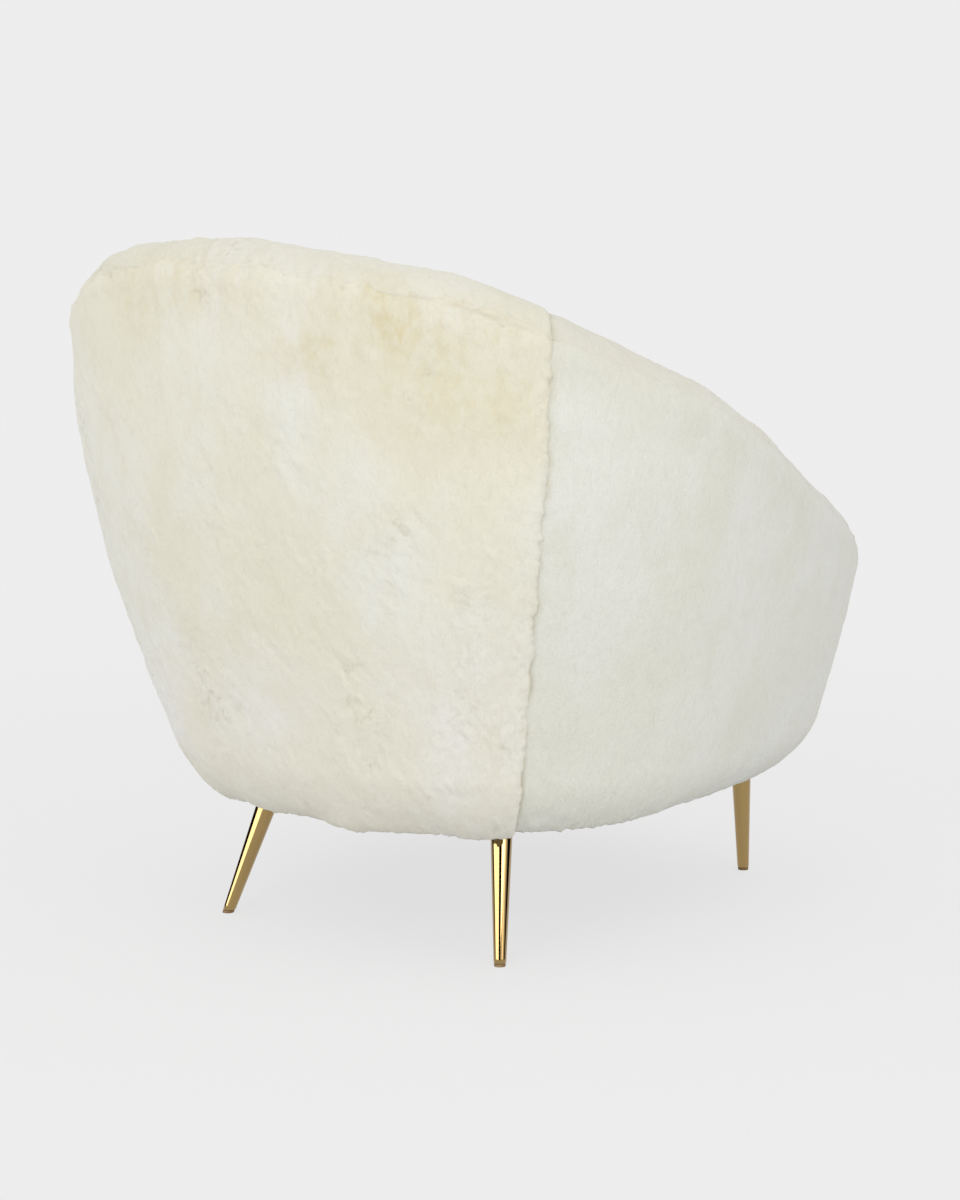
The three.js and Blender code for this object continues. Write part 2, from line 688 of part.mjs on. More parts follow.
const aTurnOn = (deg) => deg + FULL_TURN_DEG;
const FRONT_RIGHT_STATIONS_DEG = FRONT_STATIONS_DEG.filter((deg) => deg <= FRONT_DEG).slice(1);
const RING_STATIONS_DEG = [
  ...FRONT_STATIONS_DEG.filter((deg) => deg >= FRONT_DEG && deg < NOSE_END_DEG),
  ...SHELL_STATIONS_DEG,
  ...FRONT_RIGHT_STATIONS_DEG.map(aTurnOn),
];

function addSeatRails() {
  const gap = degreesFor(GAP, RAIL_SPLIT_DEG);
  const frontFrom = mirrored(-RAIL_SPLIT_DEG) - FULL_TURN_DEG;
  const stations = RING_STATIONS_DEG.map((deg) => deg - FULL_TURN_DEG);
  const round = [...stations.filter((deg) => deg < FRONT_DEG), ...RING_STATIONS_DEG];
  const add = (name, from, to) => addPiece(name, loftAlongPlan(seatRailSection, from, to, round), TIMBER);
  add("front_seat_rail", frontFrom + gap, -RAIL_SPLIT_DEG - gap);
  add("left_seat_rail", -RAIL_SPLIT_DEG + gap, RAIL_SPLIT_DEG - gap);
  add("back_seat_rail", RAIL_SPLIT_DEG + gap, mirrored(RAIL_SPLIT_DEG) - gap);
  add("right_seat_rail", mirrored(RAIL_SPLIT_DEG) + gap, mirrored(-RAIL_SPLIT_DEG) - gap);
}

// Legs with their hardware, all on the same leaning axis

function legAxes() {
  const rear = { deg: REAR_LEG_DEG, depth: REAR_LEG_DEPTH };
  rear.lean = [REAR_LEAN_IN_SHARE, REAR_LEAN_FORWARD_SHARE];
  const front = { deg: FRONT_LEG_DEG, depth: FRONT_LEG_DEPTH };
  front.lean = [FRONT_LEAN_IN_SHARE, 0];
  const corners = [
    ["rear_left", rear, 1],
    ["rear_right", rear, -1],
    ["front_left", front, 1],
    ["front_right", front, -1],
  ];
  return corners.map(([name, leg, side]) => {
    const at = insidePoint(leg.deg, leg.depth);
    const top = new THREE.Vector3(side * at.x, at.y, LEG_TOP_HEIGHT);
    const [leanIn, leanForward] = leg.lean;
    const direction = new THREE.Vector3(-side * leanIn, -leanForward, 1);
    const foot = top.clone().addScaledVector(direction, -LEG_TOP_HEIGHT);
    const deg = side > 0 ? leg.deg : mirrored(leg.deg);
    return { name, deg, depth: leg.depth, foot, top, direction: direction.normalize() };
  });
}

// A turned solid whose profile is given as radius and distance along the axis above the leg top
function turnedOnAxis(axis, profile, count) {
  const outline = profile.map(([radius, along]) => new THREE.Vector2(radius, along));
  const geometry = new THREE.LatheGeometry(outline, count);
  const turn = new THREE.Quaternion().setFromUnitVectors(new THREE.Vector3(0, 1, 0), axis.direction);
  geometry.applyQuaternion(turn);
  geometry.translate(axis.top.x, axis.top.y, axis.top.z);
  return geometry;
}

function rodOnAxis(axis, radius, from, to, count) {
  const profile = [
    [0, from],
    [radius, from],
    [radius, to],
    [0, to],
  ];
  return turnedOnAxis(axis, profile, count);
}

function boxBetween(low, high) {
  const size = high.clone().sub(low);
  const geometry = new THREE.BoxGeometry(size.x, size.y, size.z);
  const middle = low.clone().add(high).divideScalar(2);
  geometry.translate(middle.x, middle.y, middle.z);
  return solidFrom(geometry);
}

function slabRound(point, low, high) {
  const reach = LEG_TOP_RADIUS + CUT_OVERRUN;
  return boxBetween(
    new THREE.Vector3(point.x - reach, point.y - reach, low),
    new THREE.Vector3(point.x + reach, point.y + reach, high),
  );
}

function addLeg(axis) {
  const length = axis.top.distanceTo(axis.foot);
  const holeDepth = STUD_DEPTH_IN_LEG + GAP;
  const holeRadius = STUD_RADIUS + THREAD_CLEARANCE;
  const profile = [
    [0, -length - CUT_OVERRUN],
    [LEG_TIP_RADIUS, -length - CUT_OVERRUN],
    [LEG_TIP_RADIUS, -length],
    [LEG_TOP_RADIUS, -LEG_EDGE_RADIUS],
    [LEG_TOP_RADIUS - LEG_EDGE_RADIUS, 0],
    [holeRadius, 0],
    [holeRadius, -holeDepth],
    [0, -holeDepth],
  ];
  const spike = solidFrom(turnedOnAxis(axis, profile, ROUND_COUNT));
  const floorCut = slabRound(axis.foot, -2 * CUT_OVERRUN, GLIDE_HEIGHT + GAP);
  addPiece(axis.name + "_leg", geometryFrom(spike.subtract(floorCut)), BRASS);
  const glideRod = solidFrom(rodOnAxis(axis, GLIDE_RADIUS, -length - CUT_OVERRUN, -length / 2, ROUND_COUNT));
  const glide = glideRod.intersect(slabRound(axis.foot, 0, GLIDE_HEIGHT));
  addPiece(axis.name + "_foot_glide", geometryFrom(glide), GLIDE_PLASTIC);
  const stud = rodOnAxis(axis, STUD_RADIUS, -STUD_DEPTH_IN_LEG, STUD_ABOVE_LEG, SMALL_ROUND_COUNT);
  addPiece(axis.name + "_leg_stud", stud, STEEL);
  addTeeNut(axis, holeRadius);
}

function addTeeNut(axis, holeRadius) {
  const top = NUT_ABOVE_LEG + NUT_FLANGE;
  const profile = [
    [holeRadius, NUT_ABOVE_LEG - NUT_BARREL_LENGTH],
    [NUT_BARREL_RADIUS, NUT_ABOVE_LEG - NUT_BARREL_LENGTH],
    [NUT_BARREL_RADIUS, NUT_ABOVE_LEG],
    [NUT_FLANGE_RADIUS, NUT_ABOVE_LEG],
    [NUT_FLANGE_RADIUS, top],
    [holeRadius, top],
    [holeRadius, NUT_ABOVE_LEG - NUT_BARREL_LENGTH],
  ];
  addPiece(axis.name + "_tee_nut", turnedOnAxis(axis, profile, SMALL_ROUND_COUNT), STEEL);
}

function addCornerBlock(axis) {
  const half = degreesFor(BLOCK_HALF_LENGTH, axis.deg);
  const section = () => cornerBlockSection(axis.depth + BLOCK_BEHIND_LEG);
  const length = [axis.deg - half, axis.deg + half];
  const blank = solidFrom(loftAlongPlan(section, ...length, RING_STATIONS_DEG));
  const pocket = rodOnAxis(axis, LEG_TOP_RADIUS + GAP, -LEG_TOP_HEIGHT / 2, GAP, ROUND_COUNT);
  const through = STUD_ABOVE_LEG + CUT_OVERRUN;
  const bore = rodOnAxis(axis, NUT_BARREL_RADIUS + GAP, -GAP, through, SMALL_ROUND_COUNT);
  const flangeRadius = NUT_FLANGE_RADIUS + GAP;
  const recess = rodOnAxis(axis, flangeRadius, NUT_ABOVE_LEG - GAP, through, SMALL_ROUND_COUNT);
  const block = [pocket, bore, recess].reduce((solid, cut) => solid.subtract(solidFrom(cut)), blank);
  addPiece(axis.name + "_corner_block", geometryFrom(block), TIMBER);
}

// Flat layers inside the plan: webbing, deck and dust cover

// How far forward or back a line at a depth inside the plan runs at a place across the chair
function planReach(x, depth, stations) {
  const line = stations.map((deg) => insidePoint(deg, depth));
  for (let i = 0; i < line.length - 1; i += 1) {
    const a = line[i];
    const b = line[i + 1];
    if ((a.x - x) * (b.x - x) <= 0 && a.x !== b.x) return lerp(a.y, b.y, (x - a.x) / (b.x - a.x));
  }
  throw new Error("no reach there");
}

function addWebbing() {
  const frontLeftRun = SHELL_STATIONS_DEG.filter((deg) => deg < 0);
  const frontRightRun = frontLeftRun.map((deg) => mirrored(deg) - FULL_TURN_DEG).reverse();
  const frontRun = [...frontRightRun, ...FRONT_STATIONS_DEG.slice(1, -1), ...frontLeftRun];
  const rearRun = SHELL_STATIONS_DEG.filter((deg) => deg >= 0 && deg <= HALF_TURN_DEG);
  for (let i = 0; i < WEB_COUNT; i += 1) {
    const x = (i - (WEB_COUNT - 1) / 2) * WEB_PITCH;
    const edge = Math.abs(x) + WEB_WIDTH / 2;
    const front = planReach(edge, WEB_END_DEPTH, frontRun);
    const rear = planReach(edge, WEB_END_DEPTH, rearRun);
    const strap = new THREE.BoxGeometry(WEB_WIDTH, rear - front, WEB_THICKNESS);
    const mesh = addPiece(`seat_web_${i + 1}`, strap, WEBBING);
    mesh.position.set(x, (front + rear) / 2, RAIL_TOP_HEIGHT + GAP + WEB_THICKNESS / 2);
  }
}

function deckOutline(clearance) {
  const frontReturn = BORDER_RETURN + clearance;
  const shell = SHELL_STATIONS_DEG.filter((deg) => noseShare(deg) === 0);
  const wallPoints = shell.map((deg) => insidePoint(deg, wallAt(deg).inset + clearance));
  const border = FRONT_STATIONS_DEG.map((deg) => insidePoint(deg, frontReturn));
  return [...wallPoints, ...border];
}

function flatLayer(outline, holes, bottom, thickness) {
  const shape = new THREE.Shape(outline);
  shape.holes = holes;
  const geometry = new THREE.ExtrudeGeometry(shape, { depth: thickness, bevelEnabled: false });
  geometry.translate(0, 0, bottom);
  return geometry;
}

function addDeck(axes) {
  const clearance = 2 * GAP;
  const clothBottom = DECK_HEIGHT - DECK_CLOTH;
  const foamHeight = clothBottom - GAP - FOAM_BOTTOM_HEIGHT;
  const outline = deckOutline(clearance);
  addPiece("seat_deck_cloth", flatLayer(outline, [], clothBottom, DECK_CLOTH), LINING);
  addPiece("seat_deck_foam", flatLayer(outline, [], FOAM_BOTTOM_HEIGHT, foamHeight), FOAM);
  const dustBottom = BLOCK_BOTTOM_HEIGHT - GAP - DUST_CLOTH;
  const dustOutline = RING_STATIONS_DEG.map((deg) => insidePoint(deg, DUST_EDGE_DEPTH));
  const holes = axes.map((axis) => {
    const toDust = (dustBottom - axis.top.z) / axis.direction.z;
    const centre = axis.top.clone().addScaledVector(axis.direction, toDust);
    const radius = LEG_TOP_RADIUS / axis.direction.z + 2 * GAP;
    return new THREE.Path().absarc(centre.x, centre.y, radius, 0, 2 * Math.PI, true);
  });
  const dust = flatLayer(dustOutline.slice(0, -1), holes, dustBottom, DUST_CLOTH);
  addPiece("dust_cover", dust, LINING);
}

// Loose seat cushion: outline from the arms and back, crowned top, drawn-in front edge

function cushionOutline(depth) {
  const clearance = CUSHION_CLEARANCE + depth;
  const walls = SHELL_STATIONS_DEG.filter((deg, i) => i % 2 === 0);
  const points = walls.map((deg) => insidePoint(deg, wallAt(deg).inset + clearance));
  const last = points[points.length - 1];
  const radius = CUSHION_CORNER_RADIUS - depth;
  const frontY = PLAN_FRONT_Y - CUSHION_OVERHANG + depth;
  const corner = (side) => {
    const arc = [];
    for (let i = 0; i <= CORNER_COUNT; i += 1) {
      const angle = ((Math.PI / 2) * i) / CORNER_COUNT;
      const x = Math.abs(last.x) - radius * (1 - Math.cos(angle));
      arc.push(new THREE.Vector2(side * x, frontY + radius * (1 - Math.sin(angle))));
    }
    return arc;
  };
  const edge = [];
  const half = Math.abs(last.x) - radius;
  for (let i = 1; i < CORNER_COUNT; i += 1) {
    const share = i / CORNER_COUNT;
    const pulled = frontY + CUSHION_DRAW_IN * Math.sin(Math.PI * share);
    edge.push(new THREE.Vector2(lerp(-half, half, share), pulled));
  }
  return [...points, ...corner(-1), ...edge, ...corner(1).reverse()];
}

function cushionGeometry(depth, crownShares) {
  const outline = cushionOutline(depth);
  const bottom = DECK_HEIGHT + GAP + depth;
  const side = CUSHION_SIDE_HEIGHT - 2 * depth;
  const radius = CUSHION_EDGE_RADIUS - depth;
  const centre = new THREE.Vector2();
  for (const point of outline) {
    centre.addScaledVector(point, 1 / outline.length);
  }
  const crownAt = (share) => CUSHION_CROWN * (1 - share ** 2);
  const rings = [];
  const addRing = (shareOf, heightOf) => {
    rings.push(outline.map((point) => {
      const share = shareOf(point);
      const at = centre.clone().lerp(point, share);
      return new THREE.Vector3(at.x, at.y, heightOf(share));
    }));
  };
  const pullShare = (pull) => (point) => 1 - pull / point.distanceTo(centre);
  for (let i = 0; i <= CUSHION_EDGE_COUNT; i += 1) {
    const angle = ((Math.PI / 2) * i) / CUSHION_EDGE_COUNT;
    addRing(pullShare(radius * (1 - Math.sin(angle))), () => bottom + radius * (1 - Math.cos(angle)));
  }
  addRing(pullShare(-CUSHION_BULGE), () => bottom + side / 2);
  for (let i = 0; i <= CUSHION_EDGE_COUNT; i += 1) {
    const angle = ((Math.PI / 2) * i) / CUSHION_EDGE_COUNT;
    const height = (share) => bottom + side - radius * (1 - Math.sin(angle)) + crownAt(Math.min(share, 1));
    addRing(pullShare(radius * (1 - Math.cos(angle))), height);
  }
  for (const crownShare of crownShares) {
    addRing((point) => pullShare(radius)(point) * crownShare, (share) => bottom + side + crownAt(share));
  }
  const size = outline.length;
  const points = rings.flat();
  const triangles = [];
  for (let ring = 0; ring < rings.length - 1; ring += 1) {
    for (let i = 0; i < size; i += 1) {
      const next = (i + 1) % size;
      const low = ring * size;
      triangles.push([low + i, low + next, low + size + next]);
      triangles.push([low + i, low + size + next, low + size + i]);
    }
  }
  points.push(new THREE.Vector3(centre.x, centre.y, bottom));
  points.push(new THREE.Vector3(centre.x, centre.y, bottom + side + CUSHION_CROWN));
  const lastRing = (rings.length - 1) * size;
  for (let i = 0; i < size; i += 1) {
    const next = (i + 1) % size;
    triangles.push([points.length - 2, next, i]);
    triangles.push([points.length - 1, lastRing + i, lastRing + next]);
  }
  return closedGeometry(points, triangles);
}

function addCushion() {
  const skin = solidFrom(cushionGeometry(0, CUSHION_CROWN_SHARES));
  const hollow = solidFrom(cushionGeometry(CUSHION_HIDE, CUSHION_CORE_CROWN_SHARES));
  const backY = PLAN_REAR_Y - BACK_THICKNESS_AT_DECK - CUSHION_CLEARANCE;
  const middleZ = DECK_HEIGHT + GAP + CUSHION_SIDE_HEIGHT / 2;
  const slot = boxBetween(
    new THREE.Vector3(-ZIP_LENGTH / 2, backY - CUSHION_HIDE - CUT_OVERRUN, middleZ - ZIP_HEIGHT / 2),
    new THREE.Vector3(ZIP_LENGTH / 2, backY + CUT_OVERRUN, middleZ + ZIP_HEIGHT / 2),
  );
  addPiece("cushion_cover", geometryFrom(skin.subtract(hollow).subtract(slot)), HIDE_BACK);
  addPiece("cushion_core", cushionGeometry(CUSHION_HIDE + GAP, CUSHION_CORE_CROWN_SHARES), FOAM);
  const zip = new THREE.BoxGeometry(ZIP_LENGTH - 2 * GAP, ZIP_THICKNESS, ZIP_HEIGHT - 2 * GAP);
  const zipMesh = addPiece("cushion_zip", zip, LINING);
  zipMesh.position.set(0, backY - CUSHION_HIDE / 2, middleZ);
}

const axes = legAxes();
addCovers();
addFoams();
addTopRails();
addPosts();
addSeatRails();
axes.forEach(addCornerBlock);
axes.forEach(addLeg);
addWebbing();
addDeck(axes);
addCushion();

export default chair;
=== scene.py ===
"""Looks of an upholstered tub lounge chair: sheepskin over a shaped shell, on tapered brass legs."""

import math  # noqa: E402

import bmesh  # noqa: E402
import bpy  # noqa: E402
import numpy as np  # noqa: E402
from mathutils import Matrix, Vector  # noqa: E402
from mathutils.bvhtree import BVHTree  # noqa: E402
from mathutils.kdtree import KDTree  # noqa: E402

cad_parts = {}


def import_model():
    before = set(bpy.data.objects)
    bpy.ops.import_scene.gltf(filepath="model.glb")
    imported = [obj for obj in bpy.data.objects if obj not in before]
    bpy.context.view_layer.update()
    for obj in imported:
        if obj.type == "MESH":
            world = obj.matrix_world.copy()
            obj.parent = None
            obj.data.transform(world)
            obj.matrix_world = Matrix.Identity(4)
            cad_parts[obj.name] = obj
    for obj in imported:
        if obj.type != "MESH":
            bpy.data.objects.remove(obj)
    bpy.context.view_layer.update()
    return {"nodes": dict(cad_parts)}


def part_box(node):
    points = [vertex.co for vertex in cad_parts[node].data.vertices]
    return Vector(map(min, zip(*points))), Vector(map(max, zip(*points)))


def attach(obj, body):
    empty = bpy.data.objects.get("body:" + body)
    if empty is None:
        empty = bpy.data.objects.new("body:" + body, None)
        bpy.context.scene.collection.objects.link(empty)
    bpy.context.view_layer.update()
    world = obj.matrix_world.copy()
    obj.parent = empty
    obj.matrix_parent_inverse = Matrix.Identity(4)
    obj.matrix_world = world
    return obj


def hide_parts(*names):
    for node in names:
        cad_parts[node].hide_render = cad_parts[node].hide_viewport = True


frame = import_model()

# Plan of the shell at its underside, in metres
PLAN_HALF_WIDTH = 0.311
PLAN_REAR_DEPTH = 0.3085
PLAN_FRONT_DEPTH = 0.396
PLAN_CENTRE_Y = -0.0258
REAR_ROUNDNESS = 2.62
FRONT_ROUNDNESS = 3.365

# Section of the shell: outer face, rim and inner face
UNDERSIDE = 0.1363
BACK_HEIGHT = 0.7917
FRONT_HEIGHT = 0.3855
RIM_FALL = 0.762
FLARE = {"side": 0.1357, "rear": 0.1437, "front": 0.0075}
FLARE_POWER = {"side": 1.758, "rear": 1.788, "front": 1.614}
BOTTOM_RADIUS = {"side": 0.076, "rear": 0.086, "front": 0.073}
INNER_LEAN = {"side": 0.148, "rear": 0.147, "front": 0.1}
REAR_RIM_RADIUS = 0.0468
FRONT_RIM_RADIUS = 0.0524
DECK = 0.275
ARM_THICKNESS = 0.049
ARM_FRONT_THICKNESS = 0.098
ARM_NARROWING = 1.6
BACK_THICKNESS = 0.079
INNER_LEAN_POWER = 1.5
NOSE_START = -46.0
NOSE_END = -56.0
NOSE_DROP = 0.0555
NOSE_THICKNESS = 0.036
UNDER_TUCK = 0.04
DECK_TUCK = 0.03
BORDER_RETURN = 0.06
BORDER_RADIUS = 0.016
BORDER_LIFT = 0.0016
BORDER_FLARE = 0.028
BORDER_FLARE_FROM = 24
BORDER_FLARE_TURN = 9
FRONT_DEG = -90

# Seams between the hides, as plan angles on the sitter's left, and on the rim
SEAM_TOP = 45.6
SEAM_BOTTOM = 48.5
RIM_SEAM = 31.0

# How the stuffed form and its wool settle away from the CAD's: the rim's height by plan angle, and
# the outer face by height, round the rear corners and the arms, at plan angles counted from the back
RIM_SETTLE = (
    (-60, 0.0),
    (10, -0.003),
    (40, 0.001),
    (53, 0.004),
    (62, 0.008),
    (70, 0.009),
    (79, 0.003),
    (88, -0.003),
    (98, -0.006),
    (110, -0.002),
    (121, 0.005),
    (132, 0.001),
    (142, -0.002),
    (153, -0.004),
    (164, -0.001),
    (180, -0.002),
    (205, 0.0),
)
CORNER_SETTLE = (
    (0.13, -0.009),
    (0.22, -0.008),
    (0.3, -0.005),
    (0.43, 0.002),
    (0.52, 0.004),
    (0.6, 0.0),
    (0.66, -0.006),
    (0.72, -0.007),
)
CORNER_ANGLE = 48
CORNER_WIDTH = 22
ARM_SETTLE = ((0.2, 0.0), (0.31, 0.001), (0.38, -0.002), (0.44, -0.006), (0.5, -0.009))
ARM_ANGLE = 106
ARM_WIDTH = 22

# Camera: the photograph is 960 by 1200 pixels
IMAGE_HEIGHT = 1200
FOCAL_PIXELS = 2904
SENSOR = 36
CAMERA_AZIMUTH = 215.3434
CAMERA_ELEVATION = 9.0036
CAMERA_DISTANCE = 3.3975
TARGET_RIGHT = 0.0178
TARGET = Vector((0, -0.0012, 0.361))


def link(name, data):
    made = bpy.data.objects.new(name, data)
    bpy.context.scene.collection.objects.link(made)
    return made


def aimed(name, data, place, toward):
    """A camera or a lamp that looks along a direction."""
    made = link(name, data)
    made.location = place
    made.rotation_mode = "QUATERNION"
    made.rotation_quaternion = toward.to_track_quat("-Z", "Y")
    return made


def camera():
    turn, rise = math.radians(CAMERA_AZIMUTH), math.radians(CAMERA_ELEVATION)
    level = math.cos(rise)
    back = Vector((math.sin(turn) * level, -math.cos(turn) * level, math.sin(rise)))
    right = Vector((math.cos(turn), math.sin(turn), 0))
    data = bpy.data.cameras.new("camera")
    data.sensor_width = SENSOR
    data.lens = SENSOR * FOCAL_PIXELS / IMAGE_HEIGHT
    place = TARGET + right * TARGET_RIGHT + back * CAMERA_DISTANCE
    bpy.context.scene.camera = aimed("camera", data, place, -back)


camera()


# Noise, repeatable from one run to the next

# Large odd factors that scatter the cells, and the shifts between them
CELL_FACTORS = (374761393, 668265263, 144665)
SEED_FACTOR = 9871
SCATTER = ((13, 1274126177), (16, 974634777))
LAST_SHIFT = 15
WORD = 0xFFFFFFFF
FRACTION = 0x1000000
NOISE_GAIN = 1.6


def lattice(cell, seed):
    """Numbers from 0 to 1, one for each whole-number cell."""
    n = seed * SEED_FACTOR
    for k, factor in enumerate(CELL_FACTORS):
        n = n + cell[..., k] * factor
    n = n & WORD
    for shift, factor in SCATTER:
        n = ((n ^ (n >> shift)) * factor) & WORD
    return ((n ^ (n >> LAST_SHIFT)) & (FRACTION - 1)) / FRACTION


def noise(points, size, seed=0):
    """Smooth noise from about -1 to 1, with bumps of the given size in metres along each axis."""
    at = np.asarray(points) / np.asarray(size)
    cell = np.floor(at).astype(np.int64)
    part = at - cell
    eased = part**3 * (part * (part * 6 - 15) + 10)
    total = np.zeros(at.shape[:-1])
    for corner in np.ndindex(2, 2, 2):
        corner = np.array(corner)
        slope = np.stack([lattice(cell + corner, seed + k) for k in (1, 2, 3)], -1) * 2 - 1
        weight = np.where(corner, eased, 1 - eased).prod(-1)
        total += weight * ((part - corner) * slope).sum(-1)
    return total * NOISE_GAIN


def waves(at, *layers):
    """The sum of layers of noise, each given by its amount, its size and its seed."""
    return sum(amount * noise(at, size, seed) for amount, size, seed in layers)


def patches(at, seed, size, share, contrast):
    """Soft patches of a size, 1 inside and 0 outside: the larger the share, the more they cover."""
    return ease(share + contrast * noise(at, size, seed))


def ease(t):
    t = np.clip(t, 0, 1)
    return t * t * (3 - 2 * t)


def lerp(low, high, share):
    return low + (high - low) * share


# The shell's form, the same as the CAD's


def signed_power(value, power):
    return np.sign(value) * np.abs(value) ** power


def plan_point(deg):
    across, along = np.cos(np.radians(deg)), np.sin(np.radians(deg))
    power = np.where(along > 0, REAR_ROUNDNESS, FRONT_ROUNDNESS)
    depth = np.where(along > 0, PLAN_REAR_DEPTH, PLAN_FRONT_DEPTH)
    ux, uy = signed_power(across, 2 / power), signed_power(along, 2 / power)
    slope_x = signed_power(ux, power - 1) / PLAN_HALF_WIDTH
    slope_y = signed_power(uy, power - 1) / depth
    length = np.hypot(slope_x, slope_y)
    return PLAN_HALF_WIDTH * ux, PLAN_CENTRE_Y + depth * uy, slope_x / length, slope_y / length


def settled(knots, value):
    """A smooth curve through the knots of a settling table."""
    places, amounts = np.array(knots, float).T
    place = np.clip(value, places[0], places[-1])
    low = np.clip(np.searchsorted(places, place, side="right") - 1, 0, len(places) - 2)
    share = ease((place - places[low]) / (places[low + 1] - places[low]))
    return lerp(amounts[low], amounts[low + 1], share)


class Wall:
    """The wall of the shell at an array of plan angles: 90 is the back, 0 the sitter's left."""

    def __init__(self, deg, settling=1):
        self.deg = deg = np.asarray(deg, float)
        self.left_deg = np.where(deg > 90, 180 - deg, deg)
        self.from_back = np.abs(deg - 90)
        self.settling = settling
        self.x, self.y, self.nx, self.ny = plan_point(deg)
        self.flare = self.by_direction(FLARE)
        self.flare_power = self.by_direction(FLARE_POWER)
        self.bottom_radius = self.by_direction(BOTTOM_RADIUS)
        self.lean = self.by_direction(INNER_LEAN)
        run = PLAN_REAR_DEPTH + PLAN_FRONT_DEPTH
        forward = np.clip((PLAN_CENTRE_Y + PLAN_REAR_DEPTH - self.y) / run, 0, 1)
        nose = np.clip((NOSE_START - self.left_deg) / (NOSE_START - NOSE_END), 0, 1)
        drop = 1 - np.sqrt(1 - nose**2)
        full = lerp(BACK_HEIGHT, FRONT_HEIGHT, forward**RIM_FALL)
        full = full + settling * settled(RIM_SETTLE, deg)
        self.height = lerp(full, FRONT_HEIGHT - NOSE_DROP, drop)
        self.inset = self.inset_at()
        thickness = self.out(self.height) - self.inner(self.height - REAR_RIM_RADIUS)
        self.rim = np.minimum(lerp(REAR_RIM_RADIUS, FRONT_RIM_RADIUS, forward), thickness / 2)

    def by_direction(self, values):
        end = np.where(self.ny > 0, values["rear"], values["front"])
        return values["side"] * self.nx**2 + end * self.ny**2

    def out(self, z):
        share = np.clip((z - UNDERSIDE) / (BACK_HEIGHT - UNDERSIDE), 0, 1)
        corner = np.exp(-(((self.from_back - CORNER_ANGLE) / CORNER_WIDTH) ** 2))
        arm = np.exp(-(((self.from_back - ARM_ANGLE) / ARM_WIDTH) ** 2))
        settle = corner * settled(CORNER_SETTLE, z) + arm * settled(ARM_SETTLE, z)
        return self.flare * (1 - (1 - share) ** self.flare_power) + self.settling * settle

    def inset_at(self):
        rear = ARM_THICKNESS * self.nx**2 + BACK_THICKNESS * self.ny**2
        forward = np.clip((PLAN_CENTRE_Y - self.y) / PLAN_FRONT_DEPTH, 0, 1)
        thickness = lerp(ARM_THICKNESS, ARM_FRONT_THICKNESS, forward**ARM_NARROWING)
        side = np.maximum(np.abs(self.nx), 1e-3)
        front = (np.abs(self.x) - PLAN_HALF_WIDTH + thickness) / side
        front = np.maximum(front, NOSE_THICKNESS - self.out(DECK - DECK_TUCK))
        return np.where(self.ny > 0, rear, front)

    def inner(self, z):
        share = np.clip((z - DECK) / (BACK_HEIGHT - DECK), 0, 1)
        return self.lean * share**INNER_LEAN_POWER - self.inset

    def placed(self, out, z):
        return np.stack([self.x + self.nx * out, self.y + self.ny * out, z + 0 * out], -1)


# Lengths along the plan, so that noise and seams keep one scale all the way round

DEG_TABLE = np.arange(-130.0, 310.01, 0.25)
LENGTH_HEIGHT = 0.42


def plan_lengths():
    wall = Wall(DEG_TABLE)
    z = np.minimum(LENGTH_HEIGHT, wall.height)
    points = wall.placed(wall.out(z), z)
    steps = np.linalg.norm(np.diff(points, axis=0), axis=1)
    return np.concatenate([[0], np.cumsum(steps)])


LENGTH_TABLE = plan_lengths()


def length_at(deg):
    return np.interp(deg, DEG_TABLE, LENGTH_TABLE)


def deg_at(length):
    return np.interp(length, LENGTH_TABLE, DEG_TABLE)


FACE_SLANT = 1.05
NOSE_ROUND = 3.2
NOSE_ROUND_LOW = 0.256
NOSE_ROUND_HIGH = 0.276
RIM_SEAM_WANDER = 3.5
RIM_LAP_OUTER = 0.006
RIM_LAP_INNER = 0.006


def nose_rounding(wall, out, z):
    """Draws the two faces of an arm together at its front end, above the border."""
    share = np.clip((wall.left_deg - NOSE_END) / NOSE_ROUND, 0, 1)
    pull = 1 - np.sqrt(1 - (1 - share) ** 2)
    pull = pull * ease((z - NOSE_ROUND_LOW) / (NOSE_ROUND_HIGH - NOSE_ROUND_LOW))
    middle = (wall.out(z) + wall.inner(z)) / 2
    return lerp(out, middle, pull)


def rim_seam(deg):
    along = np.stack([length_at(deg), 0 * deg, 0 * deg], -1)
    return np.radians(RIM_SEAM + RIM_SEAM_WANDER * noise(along, 0.045, 11))


def under_arc(wall, along):
    """Height, and how far back from the outer face, along the rounding under the frame."""
    start = np.arcsin(1 - UNDER_TUCK / wall.bottom_radius)
    length = wall.bottom_radius * (math.pi / 2 - start)
    angle = start + np.clip(along, 0, length) / wall.bottom_radius
    z = UNDERSIDE + wall.bottom_radius * (1 - np.cos(angle))
    return z, wall.bottom_radius * (1 - np.sin(angle)), length


def outer_face(deg, share, settling=1):
    """The outer face, from the tuck under the frame to the rim seam."""
    wall = Wall(deg, settling)
    seam = rim_seam(wall.deg) + RIM_LAP_OUTER / wall.rim
    face = (wall.height - wall.rim - UNDERSIDE - wall.bottom_radius) * FACE_SLANT
    arc = under_arc(wall, 0)[2]
    total = arc + face + wall.rim * seam
    along = share * total
    z, back, arc = under_arc(wall, along)
    z = z + np.clip(along - arc, 0, face) / FACE_SLANT
    angle = np.clip((along - arc - face) / wall.rim, 0, seam)
    z = z + wall.rim * np.sin(angle)
    back = back + wall.rim * (1 - np.cos(angle))
    out = nose_rounding(wall, wall.out(z) - back, z)
    return wall.placed(out, z), along, total - along


